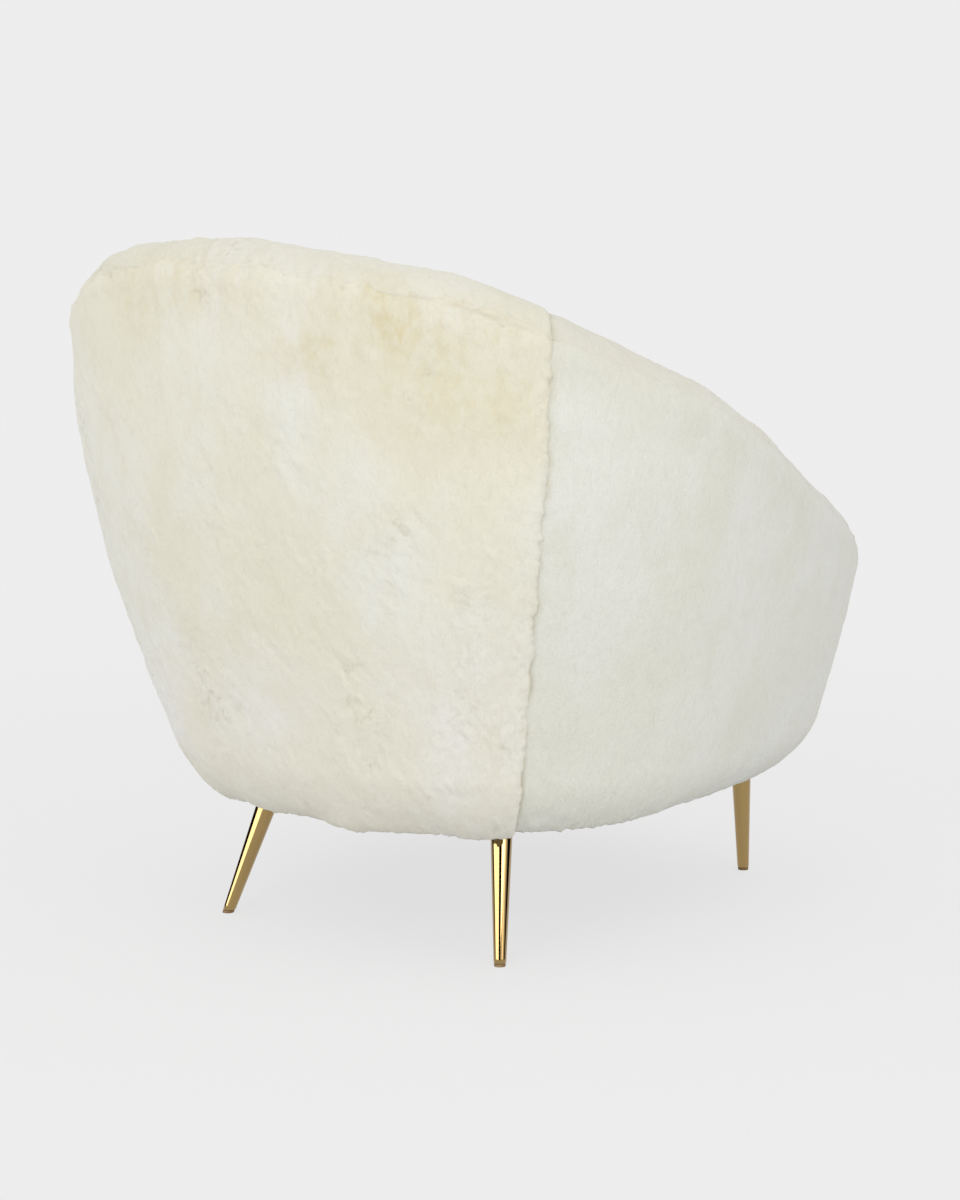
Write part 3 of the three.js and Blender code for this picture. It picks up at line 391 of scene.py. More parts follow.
def inner_face(deg, share, settling=1):
    """The inner face, from the rim seam over the rim and down to the deck."""
    wall = Wall(deg, settling)
    seam = rim_seam(wall.deg) - RIM_LAP_INNER / wall.rim
    top = wall.height - wall.rim
    crown = wall.out(wall.height) - wall.rim
    face_top = wall.inner(top)
    rise = wall.rim * (math.pi / 2 - seam)
    turn = (wall.rim + crown - face_top) * math.pi / 4
    bottom = DECK - DECK_TUCK
    face = (top - bottom) * FACE_SLANT
    total = rise + turn + face
    along = share * total
    angle = seam + np.clip(along / wall.rim, 0, math.pi / 2 - seam)
    z = top + wall.rim * np.sin(angle)
    out = wall.out(z) - wall.rim * (1 - np.cos(angle))
    angle = np.clip((along - rise) / turn, 0, 1) * math.pi / 2
    past_rim = along > rise
    z = np.where(past_rim, wall.height - wall.rim * (1 - np.cos(angle)), z)
    out = np.where(past_rim, lerp(crown, face_top, np.sin(angle)), out)
    down = np.clip(along - rise - turn, 0, face) / FACE_SLANT
    z = z - down
    out = np.where(down > 0, wall.inner(z), out)
    out = nose_rounding(wall, out, z)
    return wall.placed(out, z), along, total - along


def border_face(deg, share, settling=1):
    """The low front border: up from the tuck, over its edge, and back along the top."""
    wall = Wall(deg, settling)
    face = (DECK - BORDER_RADIUS - UNDERSIDE - wall.bottom_radius) + 0 * wall.deg
    arc = under_arc(wall, 0)[2]
    roll = BORDER_RADIUS * math.pi / 2
    total = arc + face + roll + BORDER_RETURN
    along = share * total
    z, back, arc = under_arc(wall, along)
    z = z + np.clip(along - arc, 0, face)
    angle = np.clip((along - arc - face) / BORDER_RADIUS, 0, math.pi / 2)
    z = z + BORDER_RADIUS * np.sin(angle)
    back = back + BORDER_RADIUS * (1 - np.cos(angle))
    flat = np.clip((along - arc - face - roll) / BORDER_RETURN, 0, 1)
    placed = wall.placed(wall.out(z) - back - BORDER_RETURN * flat, z + BORDER_LIFT * flat)
    from_front = wall.deg - FRONT_DEG
    beside = ease((np.abs(from_front) - BORDER_FLARE_FROM) / BORDER_FLARE_TURN)
    placed[..., 0] += np.sign(from_front) * BORDER_FLARE * beside * flat
    return placed, along, total - along


# Pile: relief of long and of clipped wool, as a height over the form, and the painted shade that darkens
# its gaps, creases and rim.
# The sizes of bumps are in metres, along the plan, up the wall and across it.

GRAIN_TILT = 0.22
GRAIN_BEND = 0.12
GRAIN_BEND_SIZE = 0.22
# Sizes of the crooks in the lie of the wool, and how far they shift it
CROOKS = ((0.035, 0.007), (0.011, 0.0022))
OCTAVES = (1.0, 0.55, 0.3, 0.17)
OCTAVE_POWER = 0.75
TUFT_LENGTH = 2.1
GAP_SHARPNESS = 2.2
CLUMPS = 0.021
TUFTS = 0.0092
WIDE_GAPS = 0.015
NARROW_GAPS = 0.009
# Layers of noise that say where the long wool is busier
PATCHES = (1.3, (0.075, 0.1, 1), 91)
LOCKS = (0.7, (0.03, 0.045, 1), 90)
FEWER_GAPS = 0.28
BUSY = 0.4
BUSY_GAIN = 0.9
LEAST_CLUMPS = 0.3
LEAST_TUFTS = 0.35
GAP_ACROSS = 0.9
GAP_ALONG = 1.5
GAP_BREAKS = (0.1, 2.2)
GAP_POWER = 4
LONG_SWELLS = (0.07, 0.11, 1)
CLIPPED_CLUMPS = 0.02
CLIPPED_TUFTS = 0.009
CLIPPED_GAPS = 0.016
CLIPPED_BUSY = (0.13, 0.3, 1.3)
CLIPPED_FEWER_GAPS = 0.6
CLIPPED_PATCHES = (0.03, 0.05, 1)
CLIPPED_DENTS = (0.09, 0.12, 1)
CLIPPED_SWELLS = (0.09, 0.13, 1)
CLIPPED_GAP_SHADE = 0.7

# Heights of the swells, clumps and tufts, and depth of the gaps, of long and of clipped wool
LONG_RELIEF = (0.0018, 0.0014, 0.0009, 0.0017)
CLIPPED_RELIEF = (0.0012, 0.0006, 0.00035, 0.0008)


def grained(at):
    """Places measured along and across the lie of the wool."""
    bend = noise(at, GRAIN_BEND_SIZE, 21)
    lain = at.copy()
    lain[..., 0] = at[..., 0] + at[..., 1] * (GRAIN_TILT + GRAIN_BEND * bend)
    for size, amount in CROOKS:
        shift = [noise(at, size, 22), noise(at, size, 23), 0 * bend]
        lain = lain + np.stack(shift, -1) * amount
    return lain


def tufts(at, size, seed):
    """Noise of several sizes, longer along the wool than across it."""
    layers = [
        (octave**OCTAVE_POWER, (size * octave, size * octave * TUFT_LENGTH, 1), seed + 3 * k)
        for k, octave in enumerate(OCTAVES)
    ]
    return waves(at, *layers)


def gaps(lain, size, seed):
    """Short crooked gaps between locks, 1 in their depths and 0 on the wool."""
    ridge = 1 - np.abs(np.clip(tufts(lain, size, seed) * GAP_SHARPNESS, -1, 1))
    breaks = (size * GAP_ACROSS, size * GAP_ALONG, 1)
    return ridge**GAP_POWER * patches(lain, seed + 15, breaks, *GAP_BREAKS)


def long_pile(at, wild):
    """Wool that hangs in soft uneven locks, with short gaps between some of them that also give painted
    shade.
    """
    swell, clump, tuft, dent = LONG_RELIEF
    lain = grained(at)
    patch = waves(at, PATCHES) + waves(lain, LOCKS)
    some = ease(patch + wild - FEWER_GAPS)
    busy = ease(BUSY + BUSY_GAIN * patch + wild)
    gap = np.maximum(gaps(lain, WIDE_GAPS, 75), gaps(lain, NARROW_GAPS, 175))
    gap = np.clip(gap * some, 0, 1)
    height = swell * noise(at, LONG_SWELLS, 28)
    height = height + clump * tufts(lain, CLUMPS, 26) * lerp(LEAST_CLUMPS, 1, busy)
    height = height + tuft * tufts(lain, TUFTS, 60) * lerp(LEAST_TUFTS, 1, busy)
    return height - dent * gap, gap


def clipped_pile(at):
    """Wool clipped short: a nearly even face with a few soft dents."""
    swell, clump, tuft, dent = CLIPPED_RELIEF
    lain = grained(at)
    busy = patches(at, 35, *CLIPPED_BUSY)
    some = noise(lain, CLIPPED_PATCHES, 50) + noise(at, CLIPPED_DENTS, 51)
    some = ease(some - CLIPPED_FEWER_GAPS)
    gap = gaps(lain, CLIPPED_GAPS, 36) * some
    height = swell * noise(at, CLIPPED_SWELLS, 52)
    height = height + clump * tufts(lain, CLIPPED_CLUMPS, 53) * busy
    height = height + tuft * tufts(lain, CLIPPED_TUFTS, 66)
    return height - dent * gap, gap * CLIPPED_GAP_SHADE


# Meshes

BODY = "chair_frame"
CUSHION_BODY = "seat_cushion"
COARSE = 8


def mesh_object(name, points, faces, smooth=True):
    mesh = bpy.data.meshes.new(name)
    mesh.from_pydata(points, [], faces)
    mesh.validate()
    mesh.polygons.foreach_set("use_smooth", [smooth] * len(mesh.polygons))
    mesh.update()
    return link(name, mesh)


def worked_mesh(name, work):
    mesh = bpy.data.meshes.new(name)
    work.to_mesh(mesh)
    work.free()
    return link(name, mesh)


def stands_for(made, nodes, body=BODY):
    """Says what a piece rides on, and hides the CAD nodes that it replaces."""
    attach(made, body)
    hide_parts(*nodes)
    return made


def quads(index, closed=None, flip=False):
    """The faces of a grid of point numbers, which may close on itself along one axis."""
    if closed is not None:
        index = np.concatenate([index, np.take(index, [0], closed)], closed)
    corners = [index[:-1, :-1], index[1:, :-1], index[1:, 1:], index[:-1, 1:]]
    if flip:
        corners = corners[:1] + corners[:0:-1]
    return np.stack(corners, -1).reshape(-1, 4).tolist()


def softened(points, reach):
    """A grid with the kinks along its columns eased over a number of rows on either side."""
    weights = np.hanning(2 * reach + 3)[1:-1]
    before = 2 * points[:, :1] - points[:, reach:0:-1]
    after = 2 * points[:, -1:] - points[:, -2 : -reach - 2 : -1]
    whole = np.concatenate([before, points, after], axis=1)
    rows = points.shape[1]
    parts = [weight * whole[:, k : k + rows] for k, weight in enumerate(weights)]
    return sum(parts) / weights.sum()


def grid_normals(points):
    """Outward normals of a grid whose columns run round the plan and whose rows run along it."""
    normal = np.cross(np.gradient(points, axis=0), np.gradient(points, axis=1))
    length = np.linalg.norm(normal, axis=-1, keepdims=True)
    return normal / np.maximum(length, 1e-12)


def mark(made, name, values):
    """Keeps a number for each of a piece's first points; the others get zero."""
    numbers = np.zeros(len(made.data.vertices))
    numbers[: values.size] = values.reshape(-1)
    attribute = made.data.attributes.new(name, "FLOAT", "POINT")
    attribute.data.foreach_set("value", numbers)


def closed_hide(name, points, behind):
    """A closed piece: the fine face, and a plain skin side behind it, stitched at the edges."""
    columns, rows = points.shape[:2]
    fine = np.arange(columns * rows).reshape(columns, rows)
    behind = behind[::COARSE, ::COARSE]
    coarse = np.arange(behind.shape[0] * behind.shape[1]).reshape(behind.shape[:2]) + fine.size
    faces = quads(fine) + quads(coarse, flip=True)
    edges = [
        (fine[:, 0], coarse[:, 0]),
        (fine[-1, :], coarse[-1, :]),
        (fine[::-1, -1], coarse[::-1, -1]),
        (fine[0, ::-1], coarse[0, ::-1]),
    ]
    for front, back in edges:
        for k in range(len(back) - 1):
            low = k * COARSE
            half = low + COARSE // 2
            for i in range(low, low + COARSE):
                corner = back[k] if i < half else back[k + 1]
                faces.append([int(front[i + 1]), int(front[i]), int(corner)])
            faces.append([int(front[half]), int(back[k]), int(back[k + 1])])
    everything = np.concatenate([points.reshape(-1, 3), behind.reshape(-1, 3)])
    return mesh_object(name, everything.tolist(), faces)


# The hides

LEFT = 1
RIGHT = -1
SPACING = 0.0026
HIDE_THICKNESS = 0.0132

# Lengths up the hides, for the number of their rows
BACK_RISE = 0.68
SIDE_RISE = 0.5
INNER_BACK_RISE = 0.62
INNER_SIDE_RISE = 0.42
BORDER_RISE = 0.24

# Rounded shoulders at the edges of the hides, each a radius and a depth
BACK_SHOULDER = (0.01, 0.0075)
SIDE_SHOULDER = (0.006, 0.0015)
RIM_SHOULDER = (0.004, 0.003)
INNER_SHOULDER = (0.006, 0.003)
NOSE_SHOULDER = (0.005, 0.0025)
BORDER_SHOULDER = (0.009, 0.003)

# Layers of noise for the wandering seam beside the back and for the torn edge along it, over a
# height of the back
SEAM_HEIGHT = 0.6
SEAM_LAYERS = ((1, (1, 0.07, 1), 41), (0.9, (1, 0.026, 1), 42), (0.45, (1, 0.009, 1), 43))
TORN_LAYERS = ((1, (1, 0.016, 1), 45), (0.8, (1, 0.0075, 1), 46))

# Laps, dips and painted shade along the seams
RIM_ROLL_WIDTH = 0.014
RIM_ROLL_DEPTH = 0.0034
SIDE_DIP = 0.003
SIDE_DIP_WIDTH = 0.028
SEAM_SHADE = 0.85
BACK_SHADE_REACH = 0.004
SIDE_SHADE_REACH = 0.0125
SIDE_SHADE_FADE = 0.004
LEAST_SHADE = 0.15
SHOULDER_CHANGE = 0.2
BACK_OVERLAP = 0.004
SIDE_TUCK = 0.003
INNER_TUCK = 0.003
BORDER_TUCK = 0.012
WANDER = 0.0036
TATTER = 0.0028

# How the wool stands up, hangs and parts near the edges, and the painted shade that darkens it there
BACK_PROUD = 0.003
RIM_PROUD = 0.0035
RIM_PROUD_REACH = 0.16
PROUD_BESIDE = 0.1
CREASE_FROM = 108
CREASE_DEPTH = 0.0016
CREASE_SHADE = 0.75
CREASE_FADE = 0.05
CREASE_WIDTH = 0.004
CREASE_WIDTH_CHANGE = 0.003
CREASE_WIDTH_STEPS = (0.012, 0.02, 1)
CREASE_PLACE = RIM_LAP_OUTER + 0.004
RIM_SHADE = 0.14
RIM_SHADE_REACH = 0.1
SIDE_RIM_SHADE = 0.26
FRINGE = 0.0022
FRINGE_REACH = 0.11
FRINGE_TUFTS = (0.013, 0.03, 1)
RIM_TUFT = 0.0026
RIM_TUFT_REACH = 0.13
RIM_TUFT_FINE = (0.0085, 0.02, 1)
RIM_TUFT_BROAD = (0.019, 0.03, 1)
RIM_SOFTENING = 9
RUFFLE = 0.004
RUFFLE_REACH = 0.075
RUFFLE_BUMPS = (0.03, 0.03, 1)
RUFFLE_SWELLS = (0.085, 0.2, 1)
RUFFLE_MORE = 0.15
RUFFLE_SWELL = 0.5
SIDE_RUFFLE = 0.8
HANG = 0.007
HANG_REACH = 0.07
HANG_WAVES = (0.11, 1, 1)
HANG_MEAN = 0.7
HANG_CHANGE = 1.1
WILD = 0.55
WILD_REACH = 0.06
# Where the wool starts to be wild beside the middle of the back and below, and over what length
WILD_BESIDE = (0.1, 0.22)
WILD_BELOW = (0.33, 0.3)
WILDER_BESIDE = 0.26
WILDER_BELOW = 0.22
CALM_BESIDE = 0.16
CALM_UP = 0.42
CALM_SIZE = 0.12
CALMER = 0.3
INNER_WILD = 0.34

# Patches where an edge is uneven, its painted shade shows, a crease opens or wool stands up: their size,
# share and contrast
UNEVEN = ((0.035, 0.05, 1), 0.45, 1.3)
SHADE_BREAKS = ((0.05, 0.022, 1), 0.5, 1.5)
CREASE_BREAKS = ((0.03, 0.02, 1), 0.5, 1.6)
RUFFLE_PATCHES = ((0.16, 1, 1), 0.5, 1)
RIM_TUFT_PATCHES = ((0.13, 1, 1), 0.45, 1.2)


def seam_places(share, side):
    return np.stack([0 * share + side, share * SEAM_HEIGHT, 0 * share], -1)


def seam_length(share, side):
    """Where the seam beside the back lies along the plan; it wanders as a torn edge does."""
    deg = lerp(SEAM_BOTTOM, SEAM_TOP, share)
    deg = deg if side > 0 else 180 - deg
    return length_at(deg) + WANDER * waves(seam_places(share, side), *SEAM_LAYERS)


def side_line(side):
    """The line under the back's hide to which a side hide reaches."""
    return lambda share: seam_length(share, side) + side * SIDE_TUCK


def torn_line(side):
    """The line to which the long wool of the back reaches past the seam, over the clipped wool."""

    def line(share):
        past = BACK_OVERLAP + TATTER * waves(seam_places(share, side), *TORN_LAYERS)
        return seam_length(share, side) - side * past

    return line


def shoulder(distance, radius, depth):
    """How far a face falls away near its edge, as a rounded shoulder."""
    share = np.clip(distance / radius, 0, 1)
    return -depth * (1 - np.sqrt(1 - (1 - share) ** 2))


def uneven_shoulder(distance, sizes, uneven):
    return shoulder(distance, *sizes) * (1 - SHOULDER_CHANGE + SHOULDER_CHANGE * uneven)


# Kinds of edge: each gives how far it raises the wool, and the painted shade it lays on the wool, at a
# distance from it


def plain_edge(sizes):
    return lambda at, distance, uneven: (uneven_shoulder(distance, sizes, uneven), 0)


def back_edge(at, distance, uneven):
    shade = SEAM_SHADE * ease(1 - distance / BACK_SHADE_REACH) * uneven
    return uneven_shoulder(distance, BACK_SHOULDER, uneven), shade


def side_edge(at, distance, uneven):
    dip = SIDE_DIP * ease(1 - distance / SIDE_DIP_WIDTH)
    shade = SEAM_SHADE * ease((SIDE_SHADE_REACH - distance) / SIDE_SHADE_FADE)
    broken = lerp(LEAST_SHADE, 1, patches(at, 152, *SHADE_BREAKS))
    return uneven_shoulder(distance, SIDE_SHOULDER, uneven) - dip, shade * broken


def rim_edge(at, distance, uneven):
    roll = RIM_ROLL_DEPTH * ease(1 - distance / RIM_ROLL_WIDTH) * (0.5 + 0.5 * uneven)
    return shoulder(distance, *RIM_SHOULDER) - roll, 0


def count_for(length):
    """Points along a length at the hides' spacing, one more than a multiple of the coarse step."""
    return int(round(length / SPACING / COARSE)) * COARSE + 1


def hide(name, face, start, end, rise, pile, edges, slot):
    """One hide: a grid between two lines, raised by its pile and shaped by its edges at start, end,
    bottom and top. A line is a length along the plan, or a function that gives one at each share of
    the rise."""
    share = np.linspace(0, 1, count_for(rise))
    low, high = (line(share) if callable(line) else line + 0 * share for line in (start, end))
    columns = count_for(float(np.mean(high - low)))
    length = lerp(low, high, np.linspace(0, 1, columns)[:, None])
    deg = deg_at(length)
    share = share + 0 * deg
    points, along, left = face(deg, share)
    if face is inner_face:
        points = softened(points, RIM_SOFTENING)
    normals = grid_normals(points)
    at = np.stack([length, along, 0 * along], -1)
    height, painted_shade = pile(at, along, left)
    uneven = patches(at, 151, *UNEVEN)
    for edge, distance in zip(edges, (length - low, high - length, along, left)):
        if edge:
            raised, shade = edge(at, distance, uneven)
            height = height + raised
            painted_shade = np.maximum(painted_shade, shade)
    behind = face(deg, share, 0)[0] - normals * HIDE_THICKNESS
    made = closed_hide(f"{name}_hide", points + normals * height[..., None], behind)
    # The painted shade of gaps, seams, creases and rim goes to the wool's material as a number at each
    # point
    mark(made, "painted_shade", painted_shade)
    return stands_for(made, [f"{name}_cover"])


def ruffle(at, reach, seed):
    """Wool that stands up in bumps where it turns over an edge."""
    near = ease(1 - reach / RUFFLE_REACH)
    bumps = np.maximum(noise(at, RUFFLE_BUMPS, seed) + RUFFLE_MORE, 0)
    slow = noise(at, RUFFLE_SWELLS, seed + 1)
    there = patches(at, seed + 2, *RUFFLE_PATCHES)
    return RUFFLE * near * (bumps * there + RUFFLE_SWELL * slow)


def rim_tufts(at, distance, seed):
    """Small tufts that stand up along the rim and break its outline."""
    fine = waves(at, (1, RIM_TUFT_FINE, seed), (0.6, RIM_TUFT_BROAD, seed + 1))
    unruly = patches(at, seed + 2, *RIM_TUFT_PATCHES)
    return RIM_TUFT * unruly * ease(1 - distance / RIM_TUFT_REACH) * fine


def rim_shade(distance, painted_shade, most=RIM_SHADE):
    """Painted shade: the wool is painted a little greyer where it turns over the rim, for the shade it lies
    in there.
    """
    return np.maximum(painted_shade, most * ease(1 - distance / RIM_SHADE_REACH))


def near_edge(distance):
    return WILD * ease(1 - distance / WILD_REACH)


def crease(at, distance):
    """The broken line where the wool parts along the rim seam, on the right half of the back; the back's
    pile sinks it a little and gives it painted shade.
    """
    there = ease((at[..., 0] - length_at(CREASE_FROM)) / CREASE_FADE)
    broken = patches(at, 141, *CREASE_BREAKS)
    wide = CREASE_WIDTH + CREASE_WIDTH_CHANGE * noise(at, CREASE_WIDTH_STEPS, 142)
    return there * broken * ease(1 - np.abs(distance - CREASE_PLACE) / wide)


def back_wild(at, along, left):
    """The long wool is most unruly along the top and towards the seams and the lower edge."""
    middle = (length_at(SEAM_TOP) + length_at(180 - SEAM_TOP)) / 2
    from_middle = np.abs(at[..., 0] - middle)
    beside = ease((from_middle - WILD_BESIDE[0]) / WILD_BESIDE[1])
    low = ease((WILD_BELOW[0] - along) / WILD_BELOW[1])
    away = ((from_middle - CALM_BESIDE) / CALM_SIZE) ** 2 + ((along - CALM_UP) / CALM_SIZE) ** 2
    return near_edge(left) + WILDER_BESIDE * beside + WILDER_BELOW * low - CALMER * np.exp(-away)


def back_pile(at, along, left):
    height, painted_shade = long_pile(at, back_wild(at, along, left))
    height = height + ruffle(at, left, 44) + ruffle(at, along, 54) + rim_tufts(at, left, 58)
    hang = HANG_MEAN + HANG_CHANGE * noise(at, HANG_WAVES, 57)
    height = height + HANG * hang * ease(1 - along / HANG_REACH)
    parting = crease(at, left)
    return BACK_PROUD + height - CREASE_DEPTH * parting, np.maximum(painted_shade, CREASE_SHADE * parting)


def side_pile(at, along, left):
    """Clipped wool, a little ragged along the lower edge."""
    height, painted_shade = clipped_pile(at)
    fringe = FRINGE * ease(1 - along / FRINGE_REACH) * noise(at, FRINGE_TUFTS, 78)
    height = height + SIDE_RUFFLE * ruffle(at, along, 74) + fringe
    return height, rim_shade(left, painted_shade, SIDE_RIM_SHADE)


def inner_back_pile(at, along, left):
    height, painted_shade = long_pile(at, near_edge(along) + INNER_WILD)
    proud = RIM_PROUD * ease(1 - along / RIM_PROUD_REACH)
    return height + proud + ruffle(at, along, 64) + rim_tufts(at, along, 67), rim_shade(along, painted_shade)


def inner_side_pile(at, along, left):
    seams = [np.abs(at[..., 0] - length_at(deg)) for deg in (SEAM_TOP, 180 - SEAM_TOP)]
    height, painted_shade = long_pile(at, INNER_WILD)
    proud = RIM_PROUD * ease(1 - along / RIM_PROUD_REACH) * ease(1 - np.minimum(*seams) / PROUD_BESIDE)
    return height + proud, rim_shade(along, painted_shade)


def border_pile(at, along, left):
    return clipped_pile(at)


def outer_hides():
    """The back, left and right hides of the outer face; the back's laps over the other two."""
    start, end = length_at(NOSE_END), length_at(180 - NOSE_END)
    nose, seams = plain_edge(NOSE_SHOULDER), (back_edge, back_edge)
    rows = (
        ("back", torn_line(LEFT), torn_line(RIGHT), BACK_RISE, back_pile, seams, "hide_back"),
        ("left", start, side_line(LEFT), SIDE_RISE, side_pile, (nose, side_edge), "hide_side"),
        ("right", side_line(RIGHT), end, SIDE_RISE, side_pile, (side_edge, nose), "hide_side"),
    )
    return [
        hide(f"outer_{name}", outer_face, *form, (*sides, None, rim_edge), slot)
        for name, *form, sides, slot in rows
    ]


def inner_hides():
    """The left, back and right hides of the inner face."""
    start, end = length_at(NOSE_END), length_at(180 - NOSE_END)
    left, right = length_at(SEAM_TOP), length_at(180 - SEAM_TOP)
    plain = plain_edge(INNER_SHOULDER)
    rows = (
        ("left", start, left + INNER_TUCK, INNER_SIDE_RISE, inner_side_pile, (None, side_edge)),
        ("back", left - INNER_TUCK, right + INNER_TUCK, INNER_BACK_RISE, inner_back_pile, (plain, plain)),
        ("right", right - INNER_TUCK, end, INNER_SIDE_RISE, inner_side_pile, (side_edge, None)),
    )
    return [
        hide(f"inner_{name}", inner_face, *form, (*sides, rim_edge, None), "hide_back")
        for name, *form, sides in rows
    ]


def border_hide():
    start = length_at(-180 - NOSE_END) - BORDER_TUCK
    end = length_at(NOSE_END) + BORDER_TUCK
    end_edge = plain_edge(BORDER_SHOULDER)
    edges = (end_edge, end_edge, None, None)
    return hide("front_border", border_face, start, end, BORDER_RISE, border_pile, edges, "hide_side")


# Legs, turned from solid brass, with the socket for the stud and a foot cut level

# Plan angle of the top, how far it lies inside the outline of the underside, and the lean inward
# and forward
REAR_LEG = (50.9, 0.0969, 0.214, 0.328)
FRONT_LEG = (-51.8, 0.0662, 0.04, 0)
LEGS = {
    f"{end}_{hand}_leg": (leg, side)
    for end, leg in (("rear", REAR_LEG), ("front", FRONT_LEG))
    for hand, side in (("left", LEFT), ("right", RIGHT))
}
LEG_TOP = 0.16
LEG_TOP_RADIUS = 0.0134
LEG_TIP_RADIUS = 0.007
LEG_EDGE = 0.0012
FOOT_CUT = 0.0033
FOOT_EDGE = 0.0006
SOCKET_RADIUS = 0.0043
SOCKET_DEPTH = 0.0223
LEG_SIDES = 72
LEG_RINGS = 13


def leg_axis(leg, side):
    deg, depth, lean_in, lean_forward = leg
    x, y, nx, ny = (float(value) for value in plan_point(np.array(deg)))
    top = np.array([side * (x - nx * depth), y - ny * depth, LEG_TOP])
    slope = np.array([-side * lean_in, -lean_forward, 1])
    direction = slope / np.linalg.norm(slope)
    return top, direction, LEG_TOP / direction[2]


def turned_leg(node, leg, side):
    top, direction, length = leg_axis(leg, side)
    across = np.cross(direction, [0, 1, 0])
    across /= np.linalg.norm(across)
    other = np.cross(direction, across)
    turn = np.linspace(0, math.tau, LEG_SIDES, endpoint=False)
    spoke = np.cos(turn)[:, None] * across + np.sin(turn)[:, None] * other

    def radius_at(along):
        return lerp(LEG_TIP_RADIUS, LEG_TOP_RADIUS, np.clip(1 + along / (length - LEG_EDGE), 0, 1))

    def ring(radius, along):
        return top + spoke * np.reshape(radius, (-1, 1)) + direction * np.reshape(along, (-1, 1))

    def level_ring(height, inside):
        along = np.full(LEG_SIDES, -length)
        for _ in range(4):
            radius = radius_at(along) - inside
            along = (height - top[2] - radius * spoke[:, 2]) / direction[2]
        return ring(radius_at(along) - inside, along)

    rings = [ring(SOCKET_RADIUS, -SOCKET_DEPTH), ring(SOCKET_RADIUS, 0)]
    rings += [ring(LEG_TOP_RADIUS - LEG_EDGE, 0)]
    for share in (0.3, 0.6, 0.9):
        bend = share * math.pi / 2
        inside = LEG_EDGE * (1 - math.sin(bend))
        rings.append(ring(LEG_TOP_RADIUS - inside, -LEG_EDGE * (1 - math.cos(bend))))
    for share in np.linspace(0, 0.96, LEG_RINGS):
        along = -LEG_EDGE - (length - LEG_EDGE) * share
        rings.append(ring(radius_at(along), along))
    rings += [level_ring(FOOT_CUT + FOOT_EDGE, 0), level_ring(FOOT_CUT, FOOT_EDGE)]
    index = np.arange(len(rings) * LEG_SIDES).reshape(-1, LEG_SIDES)
    faces = quads(index, closed=1) + [index[0].tolist(), index[-1][::-1].tolist()]
    made = mesh_object(f"{node}_brass", np.concatenate(rings).tolist(), faces)
    for k in (-1, -2):
        made.data.polygons[len(made.data.polygons) + k].use_smooth = False
    facing_out(made)
    return stands_for(made, [node])


def facing_out(made):
    """Turns the faces of a closed piece outward."""
    work = bmesh.new()
    work.from_mesh(made.data)
    if work.calc_volume(signed=True) < 0:
        bmesh.ops.reverse_faces(work, faces=work.faces)
    work.to_mesh(made.data)
    work.free()


# Soft and inner pieces made from the CAD's own forms


def applied(made):
    """The piece with its modifiers turned into plain mesh."""
    graph = bpy.context.evaluated_depsgraph_get()
    mesh = bpy.data.meshes.new_from_object(made.evaluated_get(graph))
    made.modifiers.clear()
    made.data = mesh
    return made


def modify(made, kind, **settings):
    modifier = made.modifiers.new(kind.lower(), kind)
    for key, value in settings.items():
        setattr(modifier, key, value)
    return modifier


def vectors(items, key):
    values = np.empty(len(items) * 3)
    items.foreach_get(key, values)
    return values.reshape(-1, 3)


def points_and_normals(mesh):
    return vectors(mesh.vertices, "co"), vectors(mesh.vertex_normals, "vector")


def move_to(mesh, points):
    mesh.vertices.foreach_set("co", points.reshape(-1))
    mesh.update()


def form_of(made):
    return BVHTree.FromObject(made, bpy.context.evaluated_depsgraph_get())


def remeshed(name, node, voxel, grow, smoothing):
    made = link(name, bpy.data.objects[node].data.copy())
    modify(made, "REMESH", mode="VOXEL", voxel_size=voxel, use_smooth_shade=True)
    modify(made, "SMOOTH", factor=0.5, iterations=smoothing)
    modify(made, "DISPLACE", mid_level=0, strength=grow)
    return applied(made)


FOAM_VOXEL = 0.008
FOAM_GROW = -0.001
FOAM_SMOOTHING = 2
FOAM_CUT = ((0.0005, 0.035, 61), (0.0003, 0.012, 62))
FOAM_PIECES = (
    "left_arm_foam",
    "back_foam",
    "right_arm_foam",
    "left_arm_front_pad",
    "right_arm_front_pad",
    "front_edge_foam",
    "seat_deck_foam",
)


def foam_piece(node, body=BODY, grow=FOAM_GROW):
    made = remeshed(f"{node}_pad", node, FOAM_VOXEL, grow, FOAM_SMOOTHING)
    points, normals = points_and_normals(made.data)
    move_to(made.data, points + normals * waves(points, *FOAM_CUT)[:, None])
    return stands_for(made, [node], body)


# Seat cushion: a boxed form that fills under pressure, then its two sewn edges and its wool

CUSHION_VOXEL = 0.0068
CUSHION_START = 0.0065
CUSHION_START_SMOOTHING = 4
CUSHION_FRAMES = 20
CUSHION_CLOTH = {"quality": 5, "mass": 0.4, "bending_stiffness": 3}
CUSHION_PRESSURE = 2.5
CUSHION_MOST = 0.022
CUSHION_INSIDE = 0.0012
CUSHION_SMOOTHING = 6
CUSHION_SHEAR = (0.7, -1.3)
CUSHION_CENTRE_Y = -0.11
CORE_GROW = -0.007
SEAM_BINS = 240
SEAM_WIDTH = 0.0055
SEAM_DEPTH = 0.0042
# Painted shade along the cushion's sewn groove
SEAM_PAINTED_SHADE = 0.6


def swell(made):
    """Runs the cloth under pressure and keeps the form that it ends with."""
    cloth = modify(made, "CLOTH")
    cloth.settings.use_pressure = True
    cloth.settings.uniform_pressure_force = CUSHION_PRESSURE
    cloth.settings.effector_weights.gravity = 0
    for key, value in CUSHION_CLOTH.items():
        setattr(cloth.settings, key, value)
    cloth.point_cache.frame_start = 1
    cloth.point_cache.frame_end = CUSHION_FRAMES
    for step in range(1, CUSHION_FRAMES + 1):
        bpy.context.scene.frame_set(step)
    applied(made)
    bpy.context.scene.frame_set(1)


